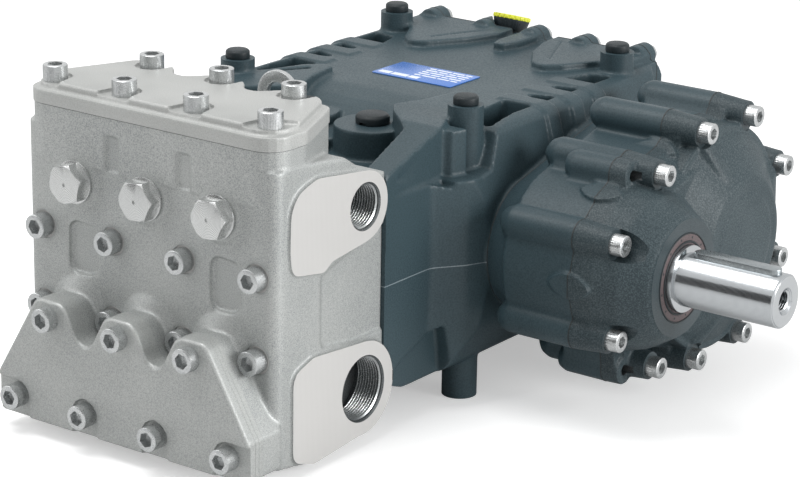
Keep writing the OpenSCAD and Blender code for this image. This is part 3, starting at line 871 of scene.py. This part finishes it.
@dataclass
class Ridge:
    """A thin raised line round a casting, such as a flash line or the edge of a step."""

    casting: bpy.types.Object
    axis: Axis
    place: float
    width: float = 0.8 * MM
    stand: float = 0.35 * MM
    thickness: float = 0.4 * MM

    def build(self, name: str, finish: Finish, slot: str) -> None:
        """Slice a thin band out of the casting's skin and thicken it.

        Args:
            name: The line's name.
            finish: The finish of the line.
            slot: The record's material slot.
        """
        line = add_object(name, self.casting.data.copy())
        line.data.materials.clear()
        with editing(line):
            for way in (-1, 1):
                select_all()
                bpy.ops.mesh.bisect(plane_co=self.axis.way * (self.place + way * self.width / 2),
                                    plane_no=self.axis.way * way, clear_outer=True)
            select_all()
            bpy.ops.transform.shrink_fatten(value=self.thickness / 2 - self.stand)
        modify(line, "SOLIDIFY", thickness=self.thickness, offset=0)
        dress(line, finish, slot)


@dataclass
class CapScrew:
    """A socket head cap screw, from its seat up. Its knurl is drawn as fewer, wider flutes."""

    head_r: float
    head_h: float
    socket_af: float
    flutes: int = 30
    flute_depth: float = 0.22 * MM
    rim: float = 0.9 * MM
    drill_tip: float = 1.5 * MM
    turn: float = math.radians(37)

    def head(self, name: str) -> bpy.types.Object:
        """Model one screw head that stands on the origin and points along +Z.

        Args:
            name: The object's name.

        Returns:
            The head, with its knurl, its rounded rim and its hexagon socket.
        """
        up = Side.TOP.out
        made = rod(name, Vector(), up, self.head_r, self.head_h, self.flutes * 2)
        top, side = self.head_h - ON_PLANE, self.head_r - NEAR_PLANE
        step = math.pi / self.flutes

        def is_flute(a: Vector, b: Vector) -> bool:
            """Tell whether an edge is every second upright one on the side."""
            upright = (a.xy - b.xy).length < ON_PLANE and a.xy.length > side
            return upright and round(math.atan2(a.y, a.x) / step) % 2 == 0

        with editing(made, edges=lambda a, b: min(a.z, b.z) > top):
            bpy.ops.mesh.bevel(offset=self.rim, segments=3, affect="EDGES")
        shrink = 1 - self.flute_depth / self.head_r
        with editing(made, edges=is_flute):
            bpy.ops.transform.resize(value=(shrink, shrink, 1), center_override=(0, 0, 0))
        foot = up * self.head_h / 2
        socket = rod("socket", foot, up, self.socket_af / math.sqrt(3), self.head_h, 6)
        with editing(socket, faces=lambda centre, normal: normal.z < -0.9):
            bpy.ops.mesh.extrude_region_shrink_fatten(TRANSFORM_OT_shrink_fatten={"value": self.drill_tip})
            bpy.ops.transform.resize(value=(0.05, 0.05, 1))
        cut(made, [socket])
        return made

    def place(self, name: str, seats: list[Vector], out: Vector) -> None:
        """Copy the screw to each seat, turned a little differently each time.

        Args:
            name: What the screws are called, before their number.
            seats: The middle of each screw's seat.
            out: The way that the heads point.
        """
        first = self.head(name)
        shape = first.data
        bpy.data.objects.remove(first)
        for k, seat in enumerate(seats, 1):
            made = add_object(f"{name}_{k}", shape.copy())
            made.data.transform(aim(seat, out) @ Matrix.Rotation(k * self.turn, 4, "Z"))
            dress(made, ZINC, "zinc_steel")


M12 = CapScrew(head_r=9 * MM, head_h=12 * MM, socket_af=10 * MM)
M10 = CapScrew(head_r=8 * MM, head_h=10 * MM, socket_af=8 * MM)
M8 = CapScrew(head_r=6.5 * MM, head_h=8 * MM, socket_af=6 * MM, flutes=24)


@dataclass
class Thread:
    """The helical ridge of a thread inside a hole that the record states as a mount."""

    hole: str
    pitch: float = 2.309 * MM
    height: float = 1.35 * MM
    root: float = 0.15 * MM
    root_share: float = 0.47
    crest_share: float = 0.1
    steps: int = 72
    body: Body = Body.PUMP

    def build(self, finish: Finish, slot: str) -> None:
        """Sweep the ridge round the hole's wall, from its root in the wall to its crest.

        Args:
            finish: The finish of the flanks.
            slot: The record's material slot.
        """
        hole = stated_hole(self.hole)
        made = primitive(self.hole + "_ridge", bpy.ops.mesh.primitive_circle_add, vertices=4, radius=1)
        root, crest = hole.radius + self.root, hole.radius - self.height
        wide, narrow = self.pitch * self.root_share, self.pitch * self.crest_share
        section = [(root, -wide), (crest, -narrow), (crest, narrow), (root, wide)]
        for vertex, (across, along) in zip(made.data.vertices, section):
            vertex.co = (across, 0, along)
        modify(made, "SCREW", angle=math.tau, screw_offset=self.pitch, steps=self.steps,
               iterations=int(hole.depth / self.pitch) - 2, render_steps=self.steps,
               use_merge_vertices=False)
        with editing(made):
            bpy.ops.mesh.remove_doubles(threshold=WELD)
            select_all()
            bpy.ops.mesh.fill_holes(sides=0)
            select_all()
            bpy.ops.mesh.normals_make_consistent(inside=False)
        made.data.transform(aim(hole.mouth - hole.out * (self.pitch * 0.9), -hole.out))
        dress(made, finish, slot, body=self.body)


@dataclass
class PumpHead:
    """The pump head: its casting, valve covers, plugs, port threads and screws."""

    pitch: float = 66 * MM
    plungers: int = 3
    front: float = -336 * MM
    top_screw_rows: tuple[float, float] = (-322.4 * MM, -255.3 * MM)
    head_screw_rows: tuple[float, float] = (150.4 * MM, 90.7 * MM)
    suction_screw_rows: tuple[float, float] = (27.8 * MM, 93.9 * MM)
    seat_depth: float = 3 * MM
    pocket_r: float = 10.5 * MM
    pocket_depth: float = 0.05 * MM
    cover_steps: tuple[float, float] = (4 * MM, 8 * MM)
    step_stand: float = 0.28 * MM
    port_chamfer: float = 1.2 * MM
    centre_mark_r: float = 1.5 * MM
    centre_mark_depth: float = 1.2 * MM
    centre_mark_cut: float = 3 * MM

    def screw_x(self) -> list[float]:
        """The four screw columns, halfway between and beyond the plungers."""
        return [(k - self.plungers / 2) * self.pitch for k in range(self.plungers + 1)]

    def plunger_x(self) -> list[float]:
        """The three plunger axes."""
        return [(k - 1) * self.pitch for k in range(self.plungers)]

    def castings(self) -> None:
        """Build the head and its two covers."""
        joints = lands("manifold", Side.TOP, Side.FRONT, Side.BACK)
        ports = [replace(stated_hole(name), chamfer=self.port_chamfer)
                 for name in ("discharge_port", "suction_port")]
        screws = [Bore(Vector((x, self.front, z)), Side.FRONT.out, self.pocket_r, self.pocket_depth)
                  for x in self.screw_x() for z in self.head_screw_rows]
        head = Casting("manifold", HEAD_CASTING, "head_casting", soften=3, most_faces=96000,
                       lands=joints + lands("manifold", Side.RIGHT, Side.LEFT), bores=ports + screws).build()
        for joint in joints:
            Seam(head, joint).build(SEALING_COMPOUND, "head_casting")
        # The top cover's paler plate is painted light for its lit top face.
        Casting("top_valve_cover", TOP_CASTING_PAINTED_LIGHT, "cover_casting", voxel_mm=1.0, soften=2, most_faces=50000,
                lands=lands("top_valve_cover", Side.BOTTOM)).build()
        back = lands("suction_valve_cover", Side.BACK)
        lower = Casting("suction_valve_cover", COVER_CASTING, "cover_casting", voxel_mm=1.0, soften=2,
                        most_faces=50000, lands=back).build()
        # The step ridges share the covers' brighter plate, painted highlight for their light lines.
        for k, step in enumerate(self.cover_steps, 1):
            Ridge(lower, Axis.Y, back[0].place - step, stand=self.step_stand).build(
                f"cover_step_{k}", COVER_CASTING, "cover_casting")

    def screws(self) -> None:
        """Set the screws of both covers and of the head itself."""
        top = middle("top_valve_cover", Side.TOP).z - self.seat_depth
        front, back = self.top_screw_rows
        M12.place("top_cover_screw", [Vector((x, front, top)) for x in self.screw_x()]
                  + [Vector((x, back, top)) for x in self.plunger_x()], Side.TOP.out)
        face = middle("suction_valve_cover", Side.FRONT).y + self.seat_depth
        low, high = self.suction_screw_rows
        M12.place("suction_cover_screw", [Vector((x, face, low)) for x in self.screw_x()]
                  + [Vector((x, face, high)) for x in self.plunger_x()], Side.FRONT.out)
        M12.place("head_screw", [Vector((x, self.front, z)) for z in self.head_screw_rows
                                 for x in self.screw_x()], Side.FRONT.out)

    def plugs(self) -> None:
        """Dress the valve plugs, turned in front and milled at the sides, the washers and the port plugs."""
        for k in range(1, self.plungers + 1):
            centre = middle(f"valve_plug_{k}", Side.FRONT)
            turned = replace(TURNED, name=f"turned_plug_{k}", centre=tuple(centre))
            plug = soft_edges(f"valve_plug_{k}", turned, "machined_steel")
            plug.data.materials.append(STAINLESS.material())
            for face in plug.data.polygons:
                face.material_index = int(abs(face.normal.y) < 0.8)
            cut(plug, [rod("centre_mark", centre + Side.BACK.out * self.centre_mark_depth, Side.FRONT.out,
                           self.centre_mark_r, self.centre_mark_cut, 24)])
            soft_edges(f"plug_washer_{k}", STAINLESS, "machined_steel", 0.4)
        for port in ("discharge_port", "suction_port"):
            soft_edges(port + "_plug", ZINC, "zinc_steel", 0.8)
            Thread(port).build(CUT_THREAD, "head_casting")

    def build(self) -> None:
        """Build the whole sub-assembly."""
        self.castings()
        self.plugs()
        self.screws()


@dataclass
class NamePlate:
    """The pale print on the blue plate, as plain bars: one bold row and five rows of small blocks."""

    height: float = 0.06 * MM
    sunk: float = 0.02 * MM
    edge: float = 0.3 * MM
    bold_bars: tuple[tuple[float, float], ...] = ((3 * MM, 11 * MM), (15.5 * MM, 15 * MM), (32 * MM, 9 * MM))
    bold_front: float = 4 * MM
    bold_depth: float = 6.5 * MM
    rows: int = 5
    blocks: int = 4
    row_step: float = 5.4 * MM
    row_front: float = 14 * MM
    row_left: float = 31 * MM
    row_right: float = 72 * MM
    row_depth: float = 2.6 * MM
    shortest: float = 2 * MM
    gap: float = 1.4 * MM

    def bar(self, left: float, front: float, width: float, depth: float) -> bpy.types.Object:
        """Make one bar on the plate.

        Args:
            left: How far it starts from the plate's left edge.
            front: How far it starts from the plate's front edge.
            width: Its width.
            depth: Its depth.

        Returns:
            The bar.
        """
        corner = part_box("nameplate")
        low = Vector((corner[0].x + left, corner[0].y + front, corner[1].z - self.sunk))
        return block("bar", low, low + Vector((width, depth, self.height)), self.edge)

    def build(self) -> None:
        """Print the bars."""
        bars = [self.bar(left, self.bold_front, width, self.bold_depth) for left, width in self.bold_bars]
        for row in range(self.rows):
            left = self.row_left
            for k in range(self.blocks):
                width = min((6 + 2.5 * ((row * 2 + k * 3) % 4)) * MM, self.row_right - left)
                if width > self.shortest:
                    bars.append(self.bar(left, self.row_front + row * self.row_step, width, self.row_depth))
                left += width + self.gap
        dress(joined("nameplate_print", bars), PALE_PRINT, "blue_plate")


@dataclass
class Crankcase:
    """The crankcase: its casting, rear cover, feet, caps, plate, eye and oil fittings."""

    column_span: tuple[float, float] = (218 * MM, 210 * MM)
    column_hole_r: float = 6.6 * MM
    foot_bore_depth: float = 40 * MM
    foot_chamfer: float = 0.8 * MM
    parting: float = 115 * MM
    cover_boss_r: float = 10.3 * MM
    cover_boss_height: float = 10 * MM
    cover_screws_mm: tuple[tuple[float, float], ...] = (
        (0.0, 213.0), (48.0, 213.0), (102.0, 214.0), (118.0, 150.0), (118.0, 66.0), (60.0, 31.0),
        (102.0, 39.0))
    pry_notch: Vector = field(default_factory=lambda: Vector((6, 4, 3.4)) * MM)
    filler_lean: float = math.radians(17)
    lid_grips: int = 22
    lid_grip_r: float = 1.1 * MM
    lid_grip_out: float = 0.3 * MM
    lid_grip_drop: float = 4 * MM
    bezel_sunk: float = 0.9 * MM
    bezel_inset: float = 1.3 * MM
    bezel_t: float = 1.5 * MM
    drain_socket_af: float = 8 * MM
    drain_socket_depth: float = 5 * MM
    cutter_length: float = 8 * MM
    bearing_screws: int = 6
    bearing_screw_ring: float = 43 * MM
    bearing_cover_depth: float = 8 * MM

    def feet(self) -> list[Bore]:
        """The bolt holes in the feet of the four columns."""
        span_x, span_y = self.column_span
        return [Bore(Vector((x * span_x / 2, y * span_y / 2, 0)), Side.BOTTOM.out, self.column_hole_r,
                     self.foot_bore_depth, self.foot_chamfer) for x in (-1, 1) for y in (-1, 1)]

    def cover_seats(self) -> list[Bore]:
        """Find the flat ends of the rear cover's screw bosses.

        Returns:
            The ends on both sides of the middle.
        """
        face = middle("rear_cover", Side.FRONT).y + self.cover_boss_height
        places = {(side * x, z) for x, z in self.cover_screws_mm for side in (-1, 1)}
        return [Bore(Vector((x * MM, face, z * MM)), Side.BACK.out, self.cover_boss_r, SKIM, raised=True)
                for x, z in sorted(places)]

    def castings(self) -> None:
        """Build the case, the rear cover and the bearing cover of the far side."""
        flats = lands("crankcase", Side.BACK, Side.RIGHT, Side.LEFT, Side.FRONT, Side.TOP, Side.BOTTOM)
        case = Casting("crankcase", most_faces=97000, lands=flats, bores=self.feet()).build(CASE_PAINT)
        # The parting line's paler enamel is a painted highlight.
        Ridge(case, Axis.Z, self.parting).build("case_parting_line", FLASH_LINE, "case_paint")
        Seam(case, flats[0]).build(SEALING_COMPOUND, "case_paint")
        Casting("rear_cover", most_faces=40000, lands=lands("rear_cover", Side.FRONT),
                bores=self.cover_seats()).build(CASE_PAINT)
        Casting("side_bearing_cover", most_faces=20000,
                lands=lands("side_bearing_cover", Side.RIGHT)).build(CASE_PAINT)

    def screws(self) -> None:
        """Set the screws of the rear cover and of the bearing cover."""
        M8.place("rear_cover_screw", [seat.mouth for seat in self.cover_seats()], Side.BACK.out)
        face = middle("side_bearing_cover", Side.RIGHT) + Side.LEFT.out * self.bearing_cover_depth
        turns = [math.tau * (k + 0.5) / self.bearing_screws for k in range(self.bearing_screws)]
        M8.place("bearing_cover_screw",
                 [face + Vector((0, math.cos(a), math.sin(a))) * self.bearing_screw_ring for a in turns],
                 Side.LEFT.out)

    def fittings(self) -> None:
        """Dress the moulded and turned fittings."""
        for k in range(1, 5):
            soft_edges(f"column_cap_{k}", BLACK_PLASTIC, "black_plastic", 0.8)
        for k in (1, 2):
            plug = soft_edges(f"wet_end_cover_{k}", BLACK_PLASTIC, "black_plastic", 0.8)
            corner = middle(f"wet_end_cover_{k}", Side.FRONT)
            corner.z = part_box(f"wet_end_cover_{k}")[0].z
            corner -= Vector((self.pry_notch.x / 2, MM, MM))
            cut(plug, [block("pry_notch", corner, corner + self.pry_notch)])
        soft_edges("lifting_eye", ZINC, "zinc_steel", 1.0)
        soft_edges("nameplate", BLUE_FOIL, "blue_plate", 0.2)
        NamePlate().build()

    def filler(self) -> None:
        """Dress the oil filler and its lid, with grips round the lid's rim."""
        soft_edges("oil_filler", BLACK_PLASTIC, "black_plastic", 0.6)
        lid = soft_edges("oil_filler_cap", YELLOW_PLASTIC, "yellow_plastic", 0.9)
        low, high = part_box("oil_filler_cap")
        up = Vector((0, math.sin(self.filler_lean), math.cos(self.filler_lean)))
        right = Side.RIGHT.out
        back = up.cross(right)
        foot = (low + high) / 2 - up * self.lid_grip_drop
        reach = (high.x - low.x) / 2 + self.lid_grip_out
        turns = [math.tau * k / self.lid_grips for k in range(self.lid_grips)]
        cut(lid, [rod("grip", foot + (right * math.cos(a) + back * math.sin(a)) * reach, up,
                      self.lid_grip_r, self.cutter_length, 12) for a in turns])

    def oil_fittings(self) -> None:
        """Dress the sight glass in its bezel and the drain plug with its hexagon socket."""
        soft_edges("oil_sight_glass", OIL_GLASS, "sight_glass", 1.2)
        centre = middle("oil_sight_glass", Side.BACK) + Side.FRONT.out * self.bezel_sunk
        glass_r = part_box("oil_sight_glass")[1].x - centre.x
        bezel = ring("sight_glass_bezel", centre, Side.BACK.out, glass_r - self.bezel_inset, self.bezel_t)
        dress(bezel, ZINC, "zinc_steel")
        plug = soft_edges("oil_drain_plug", ZINC, "zinc_steel", 0.8)
        socket = middle("oil_drain_plug", Side.BACK) + Side.FRONT.out * self.drain_socket_depth
        corner_r = self.drain_socket_af / math.sqrt(3)
        cut(plug, [rod("drain_socket", socket, Side.BACK.out, corner_r, self.cutter_length, 6)])

    def build(self) -> None:
        """Build the whole sub-assembly."""
        self.castings()
        self.screws()
        self.fittings()
        self.filler()
        self.oil_fittings()


@dataclass
class Gearbox:
    """The gearbox: its housing, cover, screws and shaft seal."""

    crank_y: float = 29 * MM
    height: float = 120 * MM
    cover_depth: float = 28 * MM
    seat_r: float = 12.2 * MM
    seat_reach: float = 22 * MM
    dowel_face: float = 14 * MM
    dowel_hole_r: float = 4 * MM
    dowel_hole_depth: float = 11 * MM
    screws_mm: tuple[tuple[float, float, float], ...] = (
        (-150.5, 32.5, 39.9), (-92.0, 71.3, 76.8), (-33.0, 90.2, 87.3), (36.0, 89.0, 84.7),
        (88.0, 38.7, 36.0))
    dowels_mm: tuple[tuple[float, float], ...] = ((-105.0, 70.0), (-105.0, -80.0))
    seal_pits: int = 12
    seal_pit_ring: float = 30.2 * MM
    seal_pit_r: float = 0.95 * MM
    seal_pit_sunk: float = 0.5 * MM
    seal_pit_height: float = 0.56 * MM
    seal_lip_r: float = 27 * MM
    seal_lip_t: float = 0.9 * MM
    seal_rim_t: float = 0.7 * MM

    def on_cover(self, depth: float, y_mm: float, z_mm: float) -> Vector:
        """Find a place over the joint of the cover, from the crankshaft's axis."""
        joint = middle("gearbox_housing", Side.RIGHT).x
        return Vector((joint + depth, self.crank_y + y_mm * MM, self.height + z_mm * MM))

    def seats(self) -> list[Bore]:
        """Find the spot faces of the ten cover screws.

        Returns:
            The upper ones and then their twins below.
        """
        places = [(y, up) for y, up, down in self.screws_mm] + [(y, -down) for y, up, down in self.screws_mm]
        return [Bore(self.on_cover(self.cover_depth, y, z), Side.RIGHT.out, self.seat_r, SKIM, raised=True,
                     reach=self.seat_reach) for y, z in places]

    def dowel_holes(self) -> list[Bore]:
        """The open ends of the two dowel holes."""
        return [Bore(self.on_cover(self.dowel_face, y, z), Side.RIGHT.out, self.dowel_hole_r,
                     self.dowel_hole_depth) for y, z in self.dowels_mm]

    def castings(self) -> None:
        """Build the housing and the cover."""
        right, left = lands("gearbox_housing", Side.RIGHT, Side.LEFT)
        housing = Casting("gearbox_housing", soften=5, most_faces=80000,
                          lands=[right, left]).build(CASE_PAINT)
        for joint in (left, right):
            Seam(housing, joint).build(SEALING_COMPOUND, "case_paint")
        Casting("gearbox_cover", GEAR_PAINT, "gear_cover_paint", voxel_mm=1.1, most_faces=90000,
                lands=lands("gearbox_cover", Side.LEFT, Side.RIGHT),
                bores=self.seats() + self.dowel_holes()).build(FACED_PAINT)

    def seal(self) -> None:
        """Dress the shaft seal: its rubber face, black discs as painted shade in the small pits of its mould,
        its dust lip and its rim.
        """
        soft_edges("shaft_seal", SEAL_RUBBER, "seal_rubber", 0.4)
        centre, out = middle("shaft_seal", Side.RIGHT), Side.RIGHT.out
        # Black discs stand as painted shade in the small pits of the seal's mould.
        pits = []
        for k in range(self.seal_pits):
            turn = math.tau * (k + 0.35) / self.seal_pits
            place = centre + Vector((0, math.cos(turn), math.sin(turn))) * self.seal_pit_ring
            pits.append(rod("pit", place - out * self.seal_pit_sunk, out, self.seal_pit_r,
                            self.seal_pit_height, 16))
        dress(joined("seal_pits", pits), BLACK_PLASTIC, "seal_rubber")
        rim_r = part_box("shaft_seal")[1].y - centre.y - self.seal_rim_t
        for name, radius, thick in (("seal_lip", self.seal_lip_r, self.seal_lip_t),
                                    ("seal_rim", rim_r, self.seal_rim_t)):
            dress(ring(name, centre, out, radius, thick), BLACK_PLASTIC, "seal_rubber")

    def build(self) -> None:
        """Build the whole sub-assembly."""
        self.castings()
        M10.place("gear_screw", [seat.mouth for seat in self.seats()], Side.RIGHT.out)
        self.seal()


@dataclass
class DriveShaft:
    """The keyed input shaft, which turns."""

    countersink: float = 2.2 * MM
    thread_pitch: float = 2 * MM
    thread_height: float = 1.1 * MM

    def build(self) -> None:
        """Dress the shaft and its key, and countersink and thread the hole in its end."""
        shaft = soft_edges("input_shaft", GROUND, "ground_steel", 0.4, Body.SHAFT)
        hole = stated_hole("shaft_end_thread")
        sink = rod("countersink", hole.mouth - hole.out * self.countersink, hole.out, hole.radius,
                   2 * self.countersink, 64)
        with editing(sink, faces=lambda centre, normal: normal.dot(hole.out) > 0.9):
            bpy.ops.transform.resize(value=(1 + 2 * self.countersink / hole.radius,) * 3)
        cut(shaft, [sink])
        Thread("shaft_end_thread", self.thread_pitch, self.thread_height, body=Body.SHAFT).build(
            GROUND, "ground_steel")
        soft_edges("shaft_key", KEY_STEEL, "key_steel", 0.4, Body.SHAFT)


@dataclass
class Studio:
    """A pale floor, soft light and the camera at the photograph's viewpoint."""

    eye: tuple[float, float, float] = (1.2471, -1.7496, 0.7635)
    yaw: float = math.radians(36.03)
    pitch: float = math.radians(17.77)
    roll: float = math.radians(0.98)
    lens: float = 125.95
    sensor: float = 36.0
    ambient: float = 0.42
    floor_glow: float = 0.42
    floor_width: float = 12.0
    floor_gap: float = 0.5 * MM
    target: Vector = field(default_factory=lambda: Vector((0.05, -0.08, 0.1)))
    flag_foot: Vector = field(default_factory=lambda: Vector((-0.5, -1.3, 0.1)))
    flag_size: Vector = field(default_factory=lambda: Vector((1.6, 0.01, 0.7)))

    def camera(self) -> None:
        """Place the camera as the photograph was taken."""
        back = Vector((math.sin(self.yaw) * math.cos(self.pitch), -math.cos(self.yaw) * math.cos(self.pitch),
                       math.sin(self.pitch)))
        right = Vector((math.cos(self.yaw), math.sin(self.yaw), 0))
        up = back.cross(right)
        across = right * math.cos(self.roll) + up * math.sin(self.roll)
        above = up * math.cos(self.roll) - right * math.sin(self.roll)
        data = bpy.data.cameras.new("photo_camera")
        data.lens, data.sensor_width = self.lens, self.sensor
        camera = add_object("photo_camera", data)
        turn = Matrix((across, above, back)).transposed().to_4x4()
        camera.matrix_world = Matrix.Translation(Vector(self.eye)) @ turn
        bpy.context.scene.camera = camera

    def world(self) -> None:
        """Light the scene evenly, with white behind the object and in its reflections."""
        world = bpy.data.worlds.new("studio")
        bpy.context.scene.world = world
        tree = clean_tree(world)
        rays = add_node(tree, "ShaderNodeLightPath", {}, {})
        seen = rays.outputs["Is Camera Ray"]
        for name in ("Is Glossy Ray", "Is Transmission Ray"):
            seen = add_node(tree, "ShaderNodeMath", {"operation": "ADD", "use_clamp": True},
                            {0: seen, 1: rays.outputs[name]}).outputs[0]
        level = add_node(tree, "ShaderNodeMapRange", {}, {"Value": seen, "To Min": self.ambient})
        shader = add_node(tree, "ShaderNodeBackground", {},
                          {"Color": linear("#FFFFFF"), "Strength": level.outputs[0]})
        add_node(tree, "ShaderNodeOutputWorld", {}, {"Surface": shader.outputs[0]})

    def light(self) -> None:
        """Hang three square soft boxes, each turned to the object, by their place, width and watts."""
        for name, spot, width, watts in (("top_box", (-0.3, -0.5, 1.9), 1.2, 24),
                                         ("left_box", (-1.6, -1.6, 1.1), 1.2, 12),
                                         ("right_box", (2.2, 0.3, 0.7), 1.0, 38)):
            data = bpy.data.lights.new(name, "AREA")
            data.size, data.energy = width, watts
            place = Vector(spot)
            add_object(name, data).matrix_world = aim(place, self.target - place, "-Z")

    def flag(self) -> None:
        """Stand a black card at the left, which only shows in the metal's reflections."""
        half = Vector((self.flag_size.x / 2, self.flag_size.y / 2, 0))
        low = self.flag_foot - half
        made = block("black_flag", low, low + self.flag_size)
        black = bpy.data.materials.new("black_card")
        tree = clean_tree(black)
        matt = add_node(tree, "ShaderNodeBsdfDiffuse", {}, {"Color": linear("#1B1B1B")})
        add_node(tree, "ShaderNodeOutputMaterial", {}, {"Surface": matt.outputs[0]})
        made.data.materials.append(black)
        made.visible_camera = made.visible_diffuse = made.visible_shadow = False

    def floor(self) -> None:
        """Lay a pale floor that shows white to the camera and keeps the object's shadow."""
        made = primitive("studio_floor", bpy.ops.mesh.primitive_plane_add, size=self.floor_width,
                         location=(0, 0, -self.floor_gap))
        pale = bpy.data.materials.new("pale_studio_floor")
        tree = clean_tree(pale)
        rays = add_node(tree, "ShaderNodeLightPath", {}, {})
        matt = add_node(tree, "ShaderNodeBsdfDiffuse", {}, {"Color": linear("#EDEDED")})
        lift = add_node(tree, "ShaderNodeMath", {"operation": "MULTIPLY"},
                        {0: rays.outputs["Is Camera Ray"], 1: self.floor_glow})
        glow = add_node(tree, "ShaderNodeEmission", {}, {"Strength": lift.outputs[0]})
        both = add_node(tree, "ShaderNodeAddShader", {}, {0: matt.outputs[0], 1: glow.outputs[0]})
        add_node(tree, "ShaderNodeOutputMaterial", {}, {"Surface": both.outputs[0]})
        made.data.materials.append(pale)

    def build(self) -> None:
        """Set up the view, the camera, the light and the floor."""
        bpy.context.scene.view_settings.view_transform = "Standard"
        self.camera()
        self.world()
        self.light()
        self.flag()
        self.floor()


def main() -> None:
    """Build the studio and each sub-assembly in order."""
    logging.basicConfig(level=logging.INFO, format="%(message)s")
    for part in (Studio(), PumpHead(), Crankcase(), Gearbox(), DriveShaft()):
        log.info("building %s", type(part).__name__)
        part.build()


if __name__ == "__main__":
    main()
